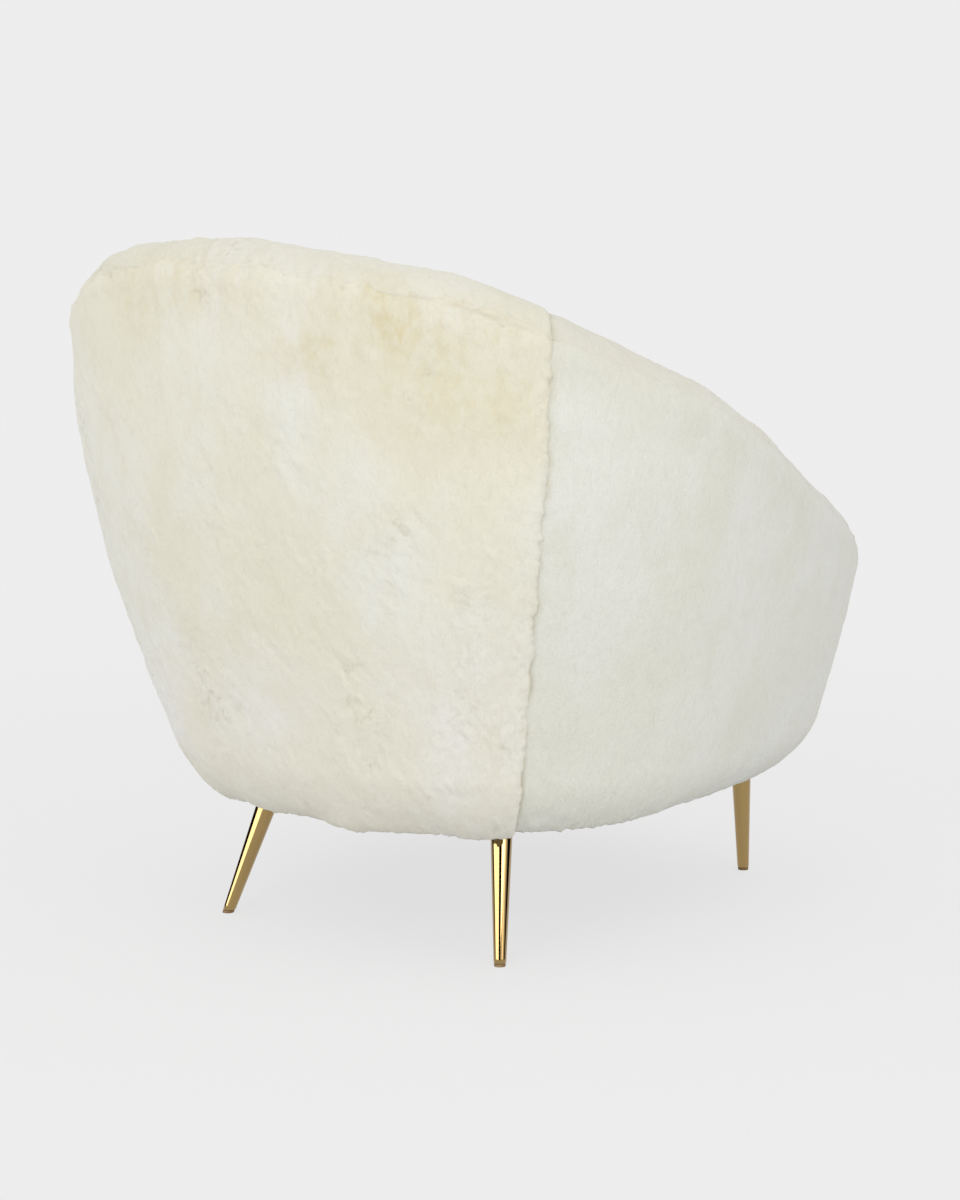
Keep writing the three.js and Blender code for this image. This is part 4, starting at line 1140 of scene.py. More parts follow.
def filled(made):
    """Lets the cushion swell, no further than the form that it fills, and gives its first points."""
    start = vectors(made.data.vertices, "co")
    swell(made)
    moved = vectors(made.data.vertices, "co") - start
    length = np.linalg.norm(moved, axis=1, keepdims=True)
    points = start + moved * np.minimum(1, CUSHION_MOST / np.maximum(length, 1e-9))
    form = form_of(bpy.data.objects["cushion_cover"])
    for index, point in enumerate(points):
        place, normal, _, _ = form.find_nearest(Vector(point))
        outside = (Vector(point) - place).dot(normal) + CUSHION_INSIDE
        if outside > 0:
            points[index] -= np.array(normal) * outside
    move_to(made.data, points)
    modify(made, "SMOOTH", factor=0.5, iterations=CUSHION_SMOOTHING)
    applied(made)
    return start


def sewn_edge(points, upward):
    """The line round the cushion where its top or bottom panel is sewn to the band."""
    away = points - np.array((0, CUSHION_CENTRE_Y, 0))
    turn = np.arctan2(away[:, 1], away[:, 0])
    score = np.hypot(away[:, 0], away[:, 1]) + upward * away[:, 2]
    bins = ((turn + math.pi) / math.tau * SEAM_BINS).astype(int) % SEAM_BINS
    line = np.zeros((SEAM_BINS, 3))
    for k in range(SEAM_BINS):
        there = np.flatnonzero(bins == k)
        line[k] = points[there[np.argmax(score[there])]]
    for _ in range(3):
        line = (np.roll(line, 1, axis=0) + 2 * line + np.roll(line, -1, axis=0)) / 4
    return line


def distance_to(points, lines):
    shares = (0, 0.25, 0.5, 0.75)
    tree = KDTree(sum(len(line) * len(shares) for line in lines))
    for line in lines:
        for first, second in zip(line, np.roll(line, -1, axis=0)):
            for share in shares:
                tree.insert(Vector(lerp(first, second, share)), 0)
    tree.balance()
    return np.array([tree.find(Vector(point))[2] for point in points])


def cushion_pile(points):
    """The long wool, laid over the cushion so that it isn't drawn out down its sides."""
    x, y, z = points.T
    at = np.stack([x + CUSHION_SHEAR[0] * z, y + CUSHION_SHEAR[1] * z, 0 * z], -1)
    return long_pile(at, INNER_WILD)


def seat_cushion():
    made = remeshed(
        "seat_cushion_hide", "cushion_core", CUSHION_VOXEL, CUSHION_START, CUSHION_START_SMOOTHING
    )
    start = filled(made)
    lines = [sewn_edge(start, upward) for upward in (1, -1)]
    before = link("cushion_start", made.data.copy())
    move_to(before.data, start)
    for piece in (before, made):
        modify(piece, "SUBSURF", levels=1)
        applied(piece)
    away = distance_to(vectors(before.data.vertices, "co"), lines)
    bpy.data.objects.remove(before)
    points, normals = points_and_normals(made.data)
    height, painted_shade = cushion_pile(points)
    groove = np.exp(-((away / SEAM_WIDTH) ** 2))
    height = height - SEAM_DEPTH * groove
    move_to(made.data, points + normals * height[:, None])
    # Painted shade in the gaps of the wool, and stronger in the sewn groove
    mark(made, "painted_shade", np.maximum(painted_shade, SEAM_PAINTED_SHADE * groove**3))
    made.data.polygons.foreach_set("use_smooth", [True] * len(made.data.polygons))
    return stands_for(made, ["cushion_cover"], CUSHION_BODY)


# Zip: coil, narrow tape and slider, along the back of the cushion

ZIP_HALF_LENGTH = 0.084
ZIP_HEIGHT = 0.3312
ZIP_PITCH = 0.0021
ZIP_START = 0.4
ZIP_SMOOTHING = 4
ZIP_TOOTH = (0.0013, 0.0016, 0.0028)
ZIP_TOOTH_OUT = 0.0013
ZIP_TOOTH_OFFSET = 0.0007
ZIP_SLIDER = (0.009, 0.0035, 0.0062)
ZIP_SLIDER_OUT = 0.0022
ZIP_SLIDER_SHARE = 0.06
ZIP_TAB = (0.0045, 0.0009, 0.015)
ZIP_TAB_AT = (0.001, 0.0035, -0.008)
ZIP_EDGE = 0.0004
ZIP_SLIDER_EDGE = 0.001
ZIP_TAPE_FROM = 0.0012
ZIP_TAPE_TO = 0.0075
ZIP_TAPE_FRONT = 0.0008
ZIP_TAPE_BACK = -0.0006


def box_into(work, centre, size, bevel):
    before = set(work.verts)
    bmesh.ops.create_cube(work, size=1)
    verts = [v for v in work.verts if v not in before]
    for v in verts:
        v.co = Vector(np.multiply(v.co, size)) + Vector(centre)
    edges = list({e for v in verts for e in v.link_edges})
    bmesh.ops.bevel(work, geom=edges, offset=bevel, segments=1, affect="EDGES")


def tape_into(work, across, back, side):
    """One half of the tape, as a flat strip that follows the cushion above or below the coil."""
    low, high = ZIP_HEIGHT + side * ZIP_TAPE_FROM, ZIP_HEIGHT + side * ZIP_TAPE_TO
    corners = ((ZIP_TAPE_FRONT, low), (ZIP_TAPE_FRONT, high), (ZIP_TAPE_BACK, high), (ZIP_TAPE_BACK, low))
    rings = [[work.verts.new((x, y + out, z)) for out, z in corners] for x, y in zip(across, back)]
    for ring, after in zip(rings[:-1], rings[1:]):
        for k in range(4):
            work.faces.new((ring[k - 1], ring[k], after[k], after[k - 1]))
    work.faces.new(rings[0])
    work.faces.new(rings[-1])


def cushion_zip(cushion):
    form = form_of(cushion)
    count = int(2 * ZIP_HALF_LENGTH / ZIP_PITCH)
    across = np.linspace(-ZIP_HALF_LENGTH, ZIP_HALF_LENGTH, count)
    inward = Vector((0, -1, 0))
    back = [form.ray_cast(Vector((x, ZIP_START, ZIP_HEIGHT)), inward)[0].y for x in across]
    window = 2 * ZIP_SMOOTHING + 1
    back = np.convolve(np.pad(back, ZIP_SMOOTHING, mode="edge"), np.ones(window) / window, mode="valid")
    work = bmesh.new()
    for k, (x, y) in enumerate(zip(across, back)):
        offset = ZIP_TOOTH_OFFSET if k % 2 else -ZIP_TOOTH_OFFSET
        box_into(work, (x, y + ZIP_TOOTH_OUT, ZIP_HEIGHT + offset), ZIP_TOOTH, ZIP_EDGE)
    slider = int(count * ZIP_SLIDER_SHARE)
    place = np.array((across[slider], back[slider], ZIP_HEIGHT))
    box_into(work, place + (0, ZIP_SLIDER_OUT, 0), ZIP_SLIDER, ZIP_SLIDER_EDGE)
    box_into(work, place + ZIP_TAB_AT, ZIP_TAB, ZIP_EDGE)
    for side in (1, -1):
        tape_into(work, across, back, side)
    bmesh.ops.recalc_face_normals(work, faces=work.faces)
    made = worked_mesh("cushion_zip_closure", work)
    return stands_for(made, ["cushion_zip"], CUSHION_BODY)


# Cloth sheets: the one under the seat cushion, and the one stapled under the frame

SHEET_RINGS = 34
SHEET_TURNS = 160
SHEET_CROWDING = 0.9
SHEET_THICKNESS = 0.0012
SHEET_LIFT = 0.0002
DECK_PUCKER = 0.0005
DECK_PUCKERS = (0.02, 0.02, 1)
DECK_WAVE = 0.0003
DECK_WAVES = 0.09
DUST_SAG = 0.004
DUST_WAVE = 0.0007
DUST_WAVES = (0.05, 0.12, 1)
HOLE_CLEARANCE = 0.0008
HOLE_SIDES = 40
HOLE_LENGTH = 0.03
OUTSIDE = 1.0


def outline_of(node):
    """A flat node's middle and lowest point, and its reach at equal turns about the middle."""
    points = vectors(bpy.data.objects[node].data.vertices, "co")
    form = form_of(bpy.data.objects[node])
    middle = (points.min(axis=0) + points.max(axis=0)) / 2
    turns = np.linspace(0, math.tau, SHEET_TURNS, endpoint=False)
    reach = np.zeros(SHEET_TURNS)
    for k, turn in enumerate(turns):
        out = Vector((math.cos(turn), math.sin(turn), 0))
        hit = form.ray_cast(Vector(middle) + out * OUTSIDE, -out)
        reach[k] = OUTSIDE - (hit[3] if hit[0] else OUTSIDE)
    return middle, points[:, 2].min(), turns, reach


def sheet_from(name, node, relief, holes=()):
    middle, low, turns, reach = outline_of(node)
    share = np.linspace(0, 1, SHEET_RINGS + 1)[1:] ** SHEET_CROWDING
    x = middle[0] + reach[:, None] * share * np.cos(turns)[:, None]
    y = middle[1] + reach[:, None] * share * np.sin(turns)[:, None]
    across = [float(middle[0]), *x.reshape(-1)]
    along = [float(middle[1]), *y.reshape(-1)]
    flat = np.stack([across, along, np.zeros(len(across))], -1)
    edge = np.concatenate([[0], np.tile(share, SHEET_TURNS)])
    top, bottom = flat.copy(), flat.copy()
    bottom[:, 2] = low + SHEET_LIFT + relief(flat, edge)
    top[:, 2] = bottom[:, 2] + SHEET_THICKNESS
    index = 1 + np.arange(SHEET_TURNS * SHEET_RINGS).reshape(SHEET_TURNS, SHEET_RINGS)
    rim = index[:, -1].tolist()
    inner = index[:, 0].tolist()
    faces = [[0, a, b] for a, b in zip(inner, inner[1:] + inner[:1])]
    faces += quads(index, closed=0, flip=True)
    count = len(flat)
    faces += [[i + count for i in face][::-1] for face in faces]
    faces += [[a, a + count, b + count, b] for a, b in zip(rim, rim[1:] + rim[:1])]
    made = mesh_object(name, np.concatenate([top, bottom]).tolist(), faces)
    area = 0.5 * float(np.sum(reach * np.roll(reach, -1)) * math.sin(math.tau / SHEET_TURNS))
    for top_at, direction, radius in holes:
        cutter = hole_through(top_at, direction, radius, low)
        modify(made, "BOOLEAN", operation="DIFFERENCE", object=cutter)
        applied(made)
        bpy.data.objects.remove(cutter)
        area -= math.pi * radius**2 / direction[2]
    facing_out(made)
    stands_for(made, [node])
    return made


def hole_through(top_at, direction, radius, height):
    centre = top_at + direction * (height - top_at[2]) / direction[2]
    work = bmesh.new()
    bmesh.ops.create_cone(
        work, cap_ends=True, segments=HOLE_SIDES, radius1=radius, radius2=radius, depth=HOLE_LENGTH
    )
    made = worked_mesh("hole", work)
    turn = Vector(direction).to_track_quat("Z", "Y").to_matrix().to_4x4()
    made.matrix_world = Matrix.Translation(Vector(centre)) @ turn
    bpy.context.view_layer.update()
    return made


def deck_relief(flat, edge):
    """Puckers along the edge, which is at 1, and slow waves all over."""
    pucker = DECK_PUCKER * noise(flat, DECK_PUCKERS, 101) * ease(edge * 3 - 2)
    return pucker + DECK_WAVE * noise(flat, DECK_WAVES, 102)


def dust_relief(flat, edge):
    """A slight sag, with waves that die out towards the edge."""
    waving = DUST_WAVE * noise(flat, DUST_WAVES, 103) * (1 - edge**4)
    return waving - DUST_SAG * (1 - edge**2)


# Webbing under the seat: six flat straps, woven with ribs across them

WEBS = 6
WEB_RIB = 0.0032
WEB_RIB_HEIGHT = 0.00022
WEB_WEAVE = 0.00008
WEB_WEAVE_TURNS = 40
WEB_COLUMNS = 15
WEB_EDGE_POWER = 14
WEB_EDGE_SHARE = 0.45
WEB_INSET = 0.0003
WEB_CLEARANCE = 0.0002


def web(number):
    node = f"seat_web_{number}"
    low, high = (np.array(corner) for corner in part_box(node))
    middle, half = (low + high) / 2, (high - low) / 2
    rows = int((high[1] - low[1]) / WEB_RIB * 2) + 1
    along = np.linspace(low[1], high[1], rows)[:, None]
    across = np.linspace(-1, 1, WEB_COLUMNS)[None, :]
    rib = WEB_RIB_HEIGHT * np.cos(along / WEB_RIB * math.tau)
    weave = WEB_WEAVE * np.cos(across * WEB_WEAVE_TURNS)
    edge = np.sqrt(np.maximum(1 - np.abs(across) ** WEB_EDGE_POWER, 0.0))
    thick = (half[2] - WEB_CLEARANCE - WEB_INSET + rib + weave) * np.maximum(edge, WEB_EDGE_SHARE)
    x = middle[0] + (half[0] - WEB_INSET) * across + 0 * thick
    y = along + 0 * thick
    top = np.stack([x, y, middle[2] + thick], -1)
    bottom = np.stack([x, y, middle[2] - thick], -1)
    ring = np.concatenate([top, bottom[:, ::-1]], axis=1)
    index = np.arange(ring.shape[0] * ring.shape[1]).reshape(ring.shape[:2])
    faces = quads(index, closed=1, flip=True) + [index[0].tolist()[::-1], index[-1].tolist()]
    made = mesh_object(f"{node}_strap", ring.reshape(-1, 3).tolist(), faces)
    facing_out(made)
    return stands_for(made, [node])


# Materials

WHITE = (1, 1, 1)
COARSE_GRAIN = (0.3, 0.7)
SOFT_TONE = (0.35, 0.65)


def linear(red, green, blue):
    """A colour given as 0 to 255, as it shows on a screen."""
    values = (value / 255 for value in (red, green, blue))
    return tuple(v / 12.92 if v <= 0.04045 else ((v + 0.055) / 1.055) ** 2.4 for v in values)


def lerp_colour(first, second, share):
    return tuple(lerp(a, b, share) for a, b in zip(first, second))


class Nodes:
    """A tree of shader nodes."""

    def __init__(self, tree):
        self.tree = tree

    def fill(self, node, values):
        """Sets a node's inputs, or links them where the value is another node's output."""
        for key, value in values.items():
            socket = node.inputs[key]
            if isinstance(value, bpy.types.NodeSocket):
                self.tree.links.new(value, socket)
            else:
                socket.default_value = (*value, 1) if socket.type == "RGBA" else value

    def node(self, kind, values=None, **settings):
        made = self.tree.nodes.new("ShaderNode" + kind)
        for key, value in settings.items():
            setattr(made, key, value)
        self.fill(made, values or {})
        return made

    def place(self):
        return self.node("TexCoord").outputs["Object"]

    def scaled(self, scale):
        return self.node("Mapping", {"Vector": self.place(), "Scale": scale}).outputs["Vector"]

    def noise(self, vector, scale, detail=3, roughness=0.5, distortion=0):
        values = {"Vector": vector, "Scale": scale, "Detail": detail}
        values.update({"Roughness": roughness, "Distortion": distortion})
        return self.node("TexNoise", values).outputs["Fac"]

    def drawn(self, kind, scale=1):
        """Noise drawn out upward. Its kind is its upward scale beside the level ones, then its scale,
        detail, roughness and distortion."""
        upward, own_scale, *shape = kind
        return self.noise(self.scaled((1, 1, upward)), own_scale * scale, *shape)

    def wave(self, vector, scale, values=None, **settings):
        values = {"Vector": vector, "Scale": scale, **(values or {})}
        return self.node("TexWave", values, **settings).outputs["Fac"]

    def math(self, operation, first, second):
        return self.node("Math", {0: first, 1: second}, operation=operation).outputs["Value"]

    def span(self, value, low, high, to_low=0.0, to_high=1.0):
        values = {"Value": value, "From Min": low, "From Max": high}
        values.update({"To Min": to_low, "To Max": to_high})
        return self.node("MapRange", values, interpolation_type="SMOOTHSTEP").outputs["Result"]

    def mix(self, share, first, second, blend="MIX"):
        values = {0: share, 6: first, 7: second}
        return self.node("Mix", values, data_type="RGBA", blend_type=blend).outputs[2]

    def bump(self, height, strength, distance, over=None):
        values = {"Strength": strength, "Distance": distance, "Height": height}
        if over:
            values["Normal"] = over
        return self.node("Bump", values).outputs["Normal"]

    def mixed_shaders(self, share, first, second):
        return self.node("MixShader", {0: share, 1: first, 2: second}).outputs["Shader"]

    def seen(self):
        """1 for what the camera sees, also by way of mirrors and glass, and 0 for what lights the scene."""
        rays = self.node("LightPath").outputs
        direct = self.math("MAXIMUM", rays["Is Camera Ray"], rays["Is Glossy Ray"])
        return self.math("MAXIMUM", direct, rays["Is Transmission Ray"])


class Look(Nodes):
    """A material made of nodes."""

    def __init__(self, name, values):
        self.material = bpy.data.materials.new(name)
        self.material.use_nodes = True
        super().__init__(self.material.node_tree)
        self.shader = self.tree.nodes["Principled BSDF"]
        self.fill(self.shader, values)

    def finish(self, values):
        self.fill(self.shader, values)
        return self.material


# Stains on the outer back: place, radius and strength
STAINS = (
    ((-0.187, 0.396, 0.744), 0.045, 0.62),
    ((-0.2, 0.392, 0.708), 0.055, 0.55),
    ((-0.116, 0.413, 0.677), 0.05, 0.4),
    ((-0.075, 0.418, 0.678), 0.05, 0.25),
    ((-0.286, 0.344, 0.713), 0.05, 0.4),
    ((-0.264, 0.358, 0.725), 0.06, 0.32),
    ((-0.247, 0.369, 0.675), 0.16, 0.28),
    ((-0.287, 0.34, 0.634), 0.09, 0.26),
    ((-0.206, 0.383, 0.624), 0.09, 0.2),
    ((0.048, 0.422, 0.754), 0.07, 0.34),
    ((-0.021, 0.425, 0.741), 0.07, 0.22),
    ((0.124, 0.416, 0.735), 0.09, 0.24),
    ((-0.15, 0.41, 0.72), 0.13, 0.22),
)
STAIN = linear(210, 191, 134)
BLOTCH = (0.64, 0.61, 0.46)
# Darker brown colour of the painted shade in the wool's gaps, seams and creases
PAINTED_SHADE_COLOUR = (0.47, 0.42, 0.27)
STRAND_SHADE = (0.6, 0.58, 0.47)
CURL_SHADE = (0.56, 0.53, 0.4)
# Painted light: the wool is painted lighter, and the long wool a little bluer, towards the bottom
LONG_LOW_PAINTED_LIGHT = (1.05, 1.05, 1.1)
CLIPPED_LOW_PAINTED_LIGHT = (1.03, 1.03, 1.03)
# Painted shade that darkens the clipped wool towards the front
CLIPPED_FRONT_PAINTED_SHADE = (0.945, 0.95, 0.985)
BLOTCH_SHARE = 0.3
# How strongly the painted shade darkens the wool, and how near its colour comes to the painted shade colour
PAINTED_SHADE_STRENGTH = 0.6
PAINTED_SHADE_COLOUR_SHARE = 0.65
STAIN_CORE = 0.15

# Noises of the wool, all drawn out upward; the scales of the last two are shares of the fibre's
TONES = (0.7, 5.5, 4, 0.55, 0.3)
BLOTCHES = (0.6, 24, 4, 0.6, 0.6)
RAGGED = (0.7, 55, 5, 0.7, 0.25)
STRANDS = (0.22, 1, 4, 0.6, 0.6)
CURLS = (0.5, 0.22, 4, 0.65, 1.2)

# Where each of them starts and ends, and the amounts that it gives there, 0 and 1 if none are told
TONE_SPAN = (0.36, 0.64)
BLOTCH_SPAN = (0.42, 0.72, 0, 0.5)
RAGGED_SPAN = (0.34, 0.66, 0.35, 1.1)
STRAND_SPAN = (0.35, 0.6, 0.08, 0)
CURL_SPAN = (0.3, 0.5, 0.14, 0)

# Heights and places along the chair between which the painted light low down and the painted shade towards
# the front come in
LOW_SPAN = (0.42, 0.2)
FORWARD_SPAN = (0.16, -0.3)

# Strength and height of the fine relief
STRAND_BUMP = (0.4, 0.0006)
CURL_BUMP = (0.55, 0.002)

WOOL = {
    "Roughness": 0.92,
    "Specular IOR Level": 0.25,
    "Sheen Weight": 0.2,
    "Sheen Roughness": 0.6,
    "Sheen Tint": (1, 0.985, 0.95),
}


def stained(look, colour, share):
    """The colour with the stains over it, ragged where the wool parts."""
    ragged = look.drawn(RAGGED)
    total = None
    for centre, radius, strength in STAINS:
        away = look.node("VectorMath", {0: look.place(), 1: centre}, operation="DISTANCE")
        near = look.span(away.outputs["Value"], radius, radius * STAIN_CORE, 0, strength)
        total = near if total is None else look.math("MAXIMUM", total, near)
    stain = look.math("MULTIPLY", total, look.span(ragged, *RAGGED_SPAN))
    return look.mix(look.math("MULTIPLY", stain, share), colour, STAIN)


def wool(name, pale, warm, stain_share, fibre):
    look = Look(name, WOOL)
    colour = look.mix(look.span(look.drawn(TONES), *TONE_SPAN), pale, warm)
    blotch = look.span(look.drawn(BLOTCHES), *BLOTCH_SPAN)
    colour = look.mix(blotch, colour, lerp_colour(warm, BLOTCH, BLOTCH_SHARE))
    place = look.node("SeparateXYZ", {"Vector": look.place()}).outputs
    low = look.span(place["Z"], *LOW_SPAN)
    if stain_share:
        # Painted light: the long wool is painted lighter towards the bottom
        colour = look.mix(low, colour, LONG_LOW_PAINTED_LIGHT, "MULTIPLY")
        colour = stained(look, colour, stain_share)
    else:
        # Painted shade: the clipped wool is painted darker towards the front
        forward = look.span(place["Y"], *FORWARD_SPAN)
        colour = look.mix(forward, colour, CLIPPED_FRONT_PAINTED_SHADE, "MULTIPLY")
        # Painted light: the clipped wool is painted lighter towards the bottom
        colour = look.mix(low, colour, CLIPPED_LOW_PAINTED_LIGHT, "MULTIPLY")
    # Painted shade from the pile: darker in the gaps between locks, along the seams and creases and towards
    # the rim
    painted_shade = look.node("Attribute", attribute_name="painted_shade").outputs["Fac"]
    gap = look.math("MULTIPLY", painted_shade, PAINTED_SHADE_STRENGTH)
    colour = look.mix(gap, colour, lerp_colour(warm, PAINTED_SHADE_COLOUR, PAINTED_SHADE_COLOUR_SHARE))
    strands, curls = look.drawn(STRANDS, fibre), look.drawn(CURLS, fibre)
    colour = look.mix(look.span(strands, *STRAND_SPAN), colour, STRAND_SHADE)
    colour = look.mix(look.span(curls, *CURL_SPAN), colour, CURL_SHADE)
    normal = look.bump(strands, *STRAND_BUMP, look.bump(curls, *CURL_BUMP))
    return look.finish({"Base Color": colour, "Normal": normal})


# The other finishes: a noise is given by its scale and detail, a span by where it starts and ends
# and the amounts there, and a bump by its strength and height

BRASS_TONE = (14, 2)
BRASS_PALE = (0.37, 0.24, 0.076)
BRASS_DARK = (0.345, 0.222, 0.068)
SMUDGES = (60, 3)
BRASS_ROUGH = (0.035, 0.06)


def brass():
    look = Look("polished_brass", {"Metallic": 1.0, "Coat Weight": 1.0, "Coat Roughness": 0.03})
    tone = look.span(look.noise(look.place(), *BRASS_TONE), *SOFT_TONE)
    smudge = look.span(look.noise(look.place(), *SMUDGES), *COARSE_GRAIN, *BRASS_ROUGH)
    return look.finish({"Base Color": look.mix(tone, BRASS_PALE, BRASS_DARK), "Roughness": smudge})


FOAM_TONE = (9, 3)
FOAM_PALE = linear(236, 226, 186)
FOAM_DARK = linear(228, 212, 160)
PORES = 850
PORE_BUMP = (0.5, 0.0006)


def foam_look():
    look = Look("cut_foam", {"Roughness": 0.95, "Specular IOR Level": 0.2})
    pores = look.node("TexVoronoi", {"Vector": look.place(), "Scale": PORES}).outputs["Distance"]
    tone = look.span(look.noise(look.place(), *FOAM_TONE), *SOFT_TONE)
    colour = look.mix(tone, FOAM_PALE, FOAM_DARK)
    return look.finish({"Base Color": colour, "Normal": look.bump(pores, *PORE_BUMP)})


BEECH_PALE = linear(196, 158, 108)
BEECH_DARK = linear(172, 130, 82)
BEECH_FIBRE = linear(142, 102, 62)
BEECH_ROUGH = (0.55, 0.75)
BEECH_BUMP = (0.3, 0.0004)
RING_STRETCH = (1, 14)
RINGS = 1.6
RING_BENDS = {"Distortion": 7, "Detail": 3}
FIBRE_STRETCH = (3, 160)
FIBRES = (4, 3)
FIBRE_SPAN = (0.35, 0.7, 0, 0.5)


def timber(name, along):
    """Beech whose grain runs along an axis."""

    def lain(lengthwise, crosswise):
        return look.scaled(tuple(lengthwise if axis == along else crosswise for axis in range(3)))

    look = Look(name, {"Specular IOR Level": 0.35})
    rings = look.wave(lain(*RING_STRETCH), RINGS, RING_BENDS)
    fibre = look.noise(lain(*FIBRE_STRETCH), *FIBRES)
    colour = look.mix(rings, BEECH_PALE, BEECH_DARK)
    colour = look.mix(look.span(fibre, *FIBRE_SPAN), colour, BEECH_FIBRE)
    rough = look.span(fibre, *COARSE_GRAIN, *BEECH_ROUGH)
    normal = look.bump(fibre, *BEECH_BUMP)
    return look.finish({"Base Color": colour, "Normal": normal, "Roughness": rough})


STEEL = {"Metallic": 1.0, "Base Color": (0.6, 0.61, 0.62)}
STEEL_TONE = (180, 3)
STEEL_ROUGH = (0.28, 0.42)
THREADS = 260
THREAD_BUMP = (0.8, 0.0006)
STEEL_GRAIN = (900, 2)
STEEL_BUMP = (0.15, 0.0002)


def steel(name, threaded):
    look = Look(name, STEEL)
    rough = look.span(look.noise(look.place(), *STEEL_TONE), *COARSE_GRAIN, *STEEL_ROUGH)
    if threaded:
        normal = look.bump(look.wave(look.place(), THREADS, bands_direction="Z"), *THREAD_BUMP)
    else:
        normal = look.bump(look.noise(look.place(), *STEEL_GRAIN), *STEEL_BUMP)
    return look.finish({"Normal": normal, "Roughness": rough})


FUZZ = (700, 3)
FUZZ_SHARE = 0.5
WEAVE_BUMP = (0.5, 0.0005)


def woven(name, dark, pale, pitch, rough):
    look = Look(name, {"Roughness": rough, "Specular IOR Level": 0.3, "Sheen Weight": 0.15})
    across, along = (look.wave(look.place(), pitch, bands_direction=axis) for axis in "XY")
    both = look.math("MULTIPLY", across, along)
    fuzz = look.noise(look.place(), *FUZZ)
    colour = look.mix(look.math("MULTIPLY", both, fuzz), dark, pale)
    height = look.math("ADD", both, look.math("MULTIPLY", fuzz, FUZZ_SHARE))
    return look.finish({"Base Color": colour, "Normal": look.bump(height, *WEAVE_BUMP)})


GLIDE_PALE = linear(146, 117, 68)
GLIDE_DARK = linear(134, 105, 60)
GLIDE_TONE = (120, 2)
GLIDE_SPAN = (0.4, 0.6)
GLIDE_GRAIN = (1200, 3)
GLIDE_ROUGH = (0.42, 0.62)
GLIDE_BUMP = (0.3, 0.0002)


def plastic():
    look = Look("moulded_glide", {"Specular IOR Level": 0.45})
    grain = look.noise(look.place(), *GLIDE_GRAIN)
    mottle = look.span(look.noise(look.place(), *GLIDE_TONE), *GLIDE_SPAN)
    colour = look.mix(mottle, GLIDE_PALE, GLIDE_DARK)
    rough = look.span(grain, *COARSE_GRAIN, *GLIDE_ROUGH)
    normal = look.bump(grain, *GLIDE_BUMP)
    return look.finish({"Base Color": colour, "Normal": normal, "Roughness": rough})


def dress(made, material):
    made.data.materials.clear()
    made.data.materials.append(material)


def dress_node(node, material):
    """Gives a CAD node a material in each of its slots."""
    for slot in node.material_slots:
        slot.material = material
    if not node.material_slots:
        node.data.materials.append(material)


def clothe_frame():
    """Finishes for the CAD nodes that stay as they are."""
    timbers = [timber(f"beech_{axis}", k) for k, axis in enumerate("xyz")]
    stud, nut, glide = steel("threaded_steel", True), steel("plain_steel", False), plastic()
    finishes = {"_stud": stud, "_nut": nut, "_glide": glide}
    for name in frame["nodes"]:
        node = bpy.data.objects[name]
        if name.endswith(("_rail", "_post", "_block")):
            size = [high - low for low, high in zip(*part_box(name))]
            dress_node(node, timbers[size.index(max(size))])
        for ending, finish in finishes.items():
            if name.endswith(ending):
                dress_node(node, finish)


# The pieces, made and dressed

WOOL_BACK = wool("sheepskin_long", linear(231, 230, 221), linear(228, 225, 207), 1.0, 620)
WOOL_SIDE = wool("sheepskin_clipped", linear(227, 227, 220), linear(223, 223, 212), 0, 760)
WOOL_INNER = wool("sheepskin_inner", linear(228, 227, 217), linear(225, 222, 206), 0.4, 620)
# The inner arm hides take the inner wool painted a little darker and greyer: painted shade along the arms'
# rim
WOOL_ARMS_PAINTED_SHADE = wool("sheepskin_arms_painted_shade", linear(224, 223, 215), linear(220, 218, 206), 0, 620)
BRASS = brass()

for made, look in zip(outer_hides(), (WOOL_BACK, WOOL_SIDE, WOOL_SIDE)):
    dress(made, look)
for made, look in zip(inner_hides(), (WOOL_ARMS_PAINTED_SHADE, WOOL_INNER, WOOL_ARMS_PAINTED_SHADE)):
    dress(made, look)
dress(border_hide(), WOOL_SIDE)
for node, (leg, side) in LEGS.items():
    dress(turned_leg(node, leg, side), BRASS)

FOAM = foam_look()
for node in FOAM_PIECES:
    dress(foam_piece(node), FOAM)
dress(foam_piece("cushion_core", CUSHION_BODY, CORE_GROW), FOAM)
cushion = seat_cushion()
dress(cushion, WOOL_BACK)
dress(cushion_zip(cushion), woven("zip_tape", linear(196, 190, 172), linear(222, 216, 200), 380.0, 0.6))

leg_holes = []
for leg, side in LEGS.values():
    top, direction, _ = leg_axis(leg, side)
    leg_holes.append((top, direction, LEG_TOP_RADIUS + HOLE_CLEARANCE))
deck = sheet_from("deck_cloth_sheet", "seat_deck_cloth", deck_relief)
dress(deck, woven("deck_cloth", linear(186, 178, 160), linear(212, 205, 188), 420.0, 0.9))
dust = sheet_from("dust_cloth_sheet", "dust_cover", dust_relief, leg_holes)
dress(dust, woven("dust_cloth", linear(34, 33, 32), linear(56, 55, 53), 460.0, 0.95))
WEBBING = woven("elastic_webbing", linear(52, 47, 41), linear(104, 94, 80), 300.0, 0.85)
for number in range(1, WEBS + 1):
    dress(web(number), WEBBING)
clothe_frame()


# Floor, background and lights

BACKGROUND = 0.85
AMBIENT = 0.86
FLOOR_RADIUS = 2.4
FLOOR_SIDES = 96
FADE_START = 0.9
FLOOR_GREY = (0.8, 0.8, 0.8)
SHADOW_SHARE = 0.17
LAMP_TARGET = Vector((0, 0, 0.45))


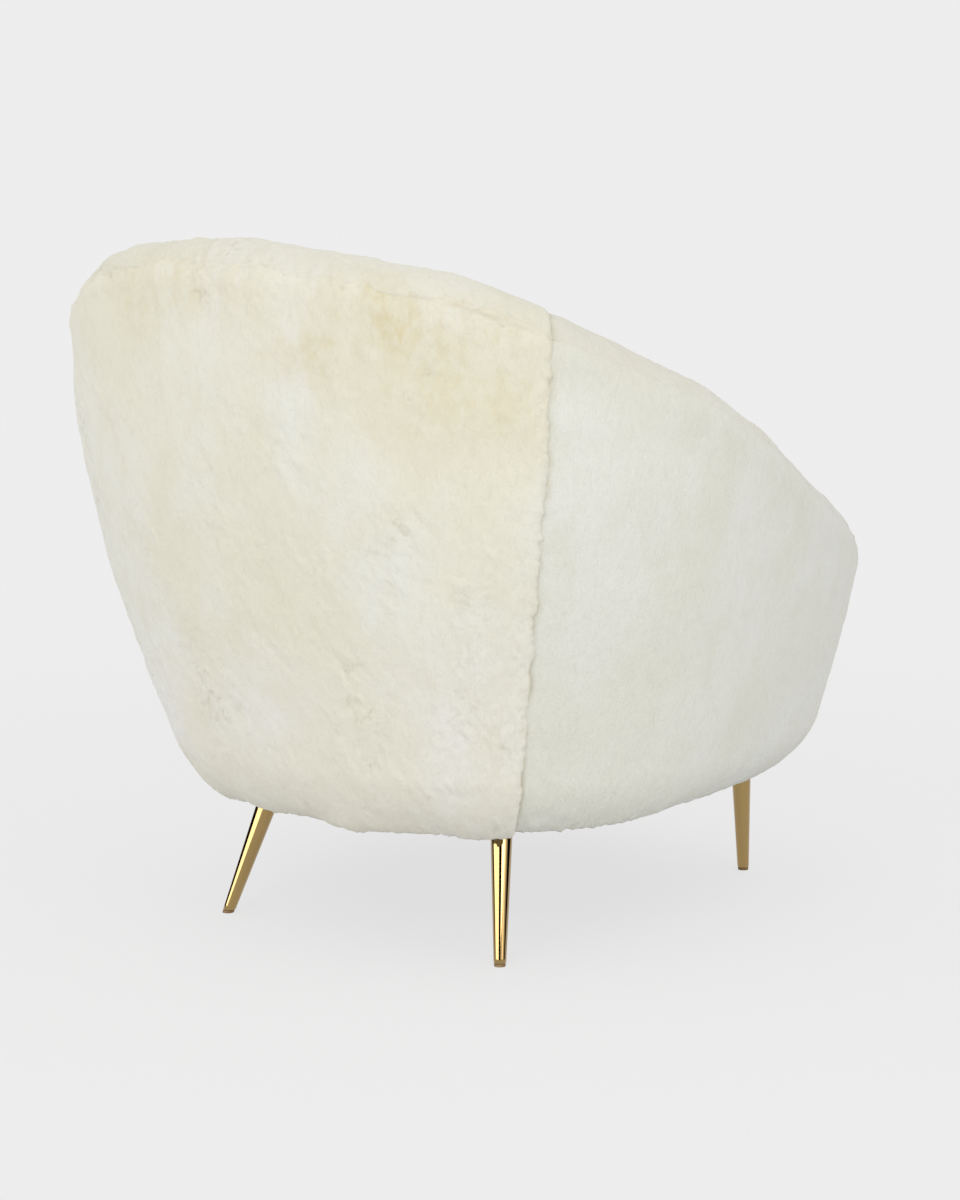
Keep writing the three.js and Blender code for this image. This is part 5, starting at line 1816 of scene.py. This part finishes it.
def floor():
    """A floor that looks like the background, takes a pale shadow and fades out."""
    work = bmesh.new()
    bmesh.ops.create_circle(work, cap_ends=True, segments=FLOOR_SIDES, radius=FLOOR_RADIUS)
    made = worked_mesh("floor", work)
    look = Look("floor", {"Roughness": 0.9, "Specular IOR Level": 0.0, "Base Color": FLOOR_GREY})
    share = look.math("MULTIPLY", look.seen(), 1 - SHADOW_SHARE)
    plain = look.node("Emission", {"Color": WHITE, "Strength": BACKGROUND}).outputs["Emission"]
    shaded = look.mixed_shaders(share, look.shader.outputs["BSDF"], plain)
    away = look.node("VectorMath", {0: look.place()}, operation="LENGTH").outputs["Value"]
    faded = look.span(away, FADE_START, FLOOR_RADIUS)
    clear = look.node("BsdfTransparent").outputs["BSDF"]
    surface = look.mixed_shaders(faded, shaded, clear)
    look.fill(look.tree.nodes["Material Output"], {"Surface": surface})
    dress(made, look.material)


def world():
    made = bpy.data.worlds.new("studio")
    bpy.context.scene.world = made
    made.use_nodes = True
    nodes = Nodes(made.node_tree)
    nodes.tree.nodes.clear()
    light, plain = (
        nodes.node("Background", {"Color": WHITE, "Strength": strength}).outputs["Background"]
        for strength in (AMBIENT, BACKGROUND)
    )
    nodes.node("OutputWorld", {"Surface": nodes.mixed_shaders(nodes.seen(), light, plain)})


def area_lamp(name, place, size, power):
    data = bpy.data.lights.new(name, "AREA")
    data.shape = "DISK"
    data.size = size
    data.energy = power
    aimed(name, data, Vector(place), LAMP_TARGET - Vector(place))


# Black and bright cards that only reflections see, so that polished metal shows its streaks:
# plan angle from the front, half its width, lowest and highest point, and strength

CARD_RADIUS = 2.4
CARD_STEPS = 9
CARDS = (
    (92, 38, 0.0, 1.6, 0),
    (161, 31, 0.35, 2.2, 4.2),
    (207, 15, 0.3, 2.2, 0),
    (237, 15, 0.9, 2.2, 7),
    (306, 24, 0.0, 1.6, 0),
    (20, 6, 0.3, 2.2, 0),
    (44, 10, 0.35, 2.2, 2),
)
CARD_BLACK = (0.01, 0.01, 0.01)


def card(number, middle, half, low, high, strength):
    points = []
    for turn in np.radians(np.linspace(middle - half, middle + half, CARD_STEPS)):
        x, y = CARD_RADIUS * math.sin(turn), -CARD_RADIUS * math.cos(turn)
        points += [(x, y, low), (x, y, high)]
    faces = [(2 * k, 2 * k + 1, 2 * k + 3, 2 * k + 2) for k in range(CARD_STEPS - 1)]
    made = mesh_object(f"card_{number}", points, faces, False)
    look = Look(f"card_{number}", {"Roughness": 1.0, "Specular IOR Level": 0.0})
    glow = {"Base Color": CARD_BLACK, "Emission Color": WHITE, "Emission Strength": strength}
    dress(made, look.finish(glow))
    for kind in ("camera", "diffuse", "transmission", "volume_scatter", "shadow"):
        setattr(made, f"visible_{kind}", False)


floor()
world()
for number, values in enumerate(CARDS, 1):
    card(number, *values)
area_lamp("key", (-0.65, 3.65, 2.3), 1.6, 26)
area_lamp("fill", (-3.4, 0.9, 1.5), 1.8, 14)
bpy.context.scene.view_settings.view_transform = "Standard"
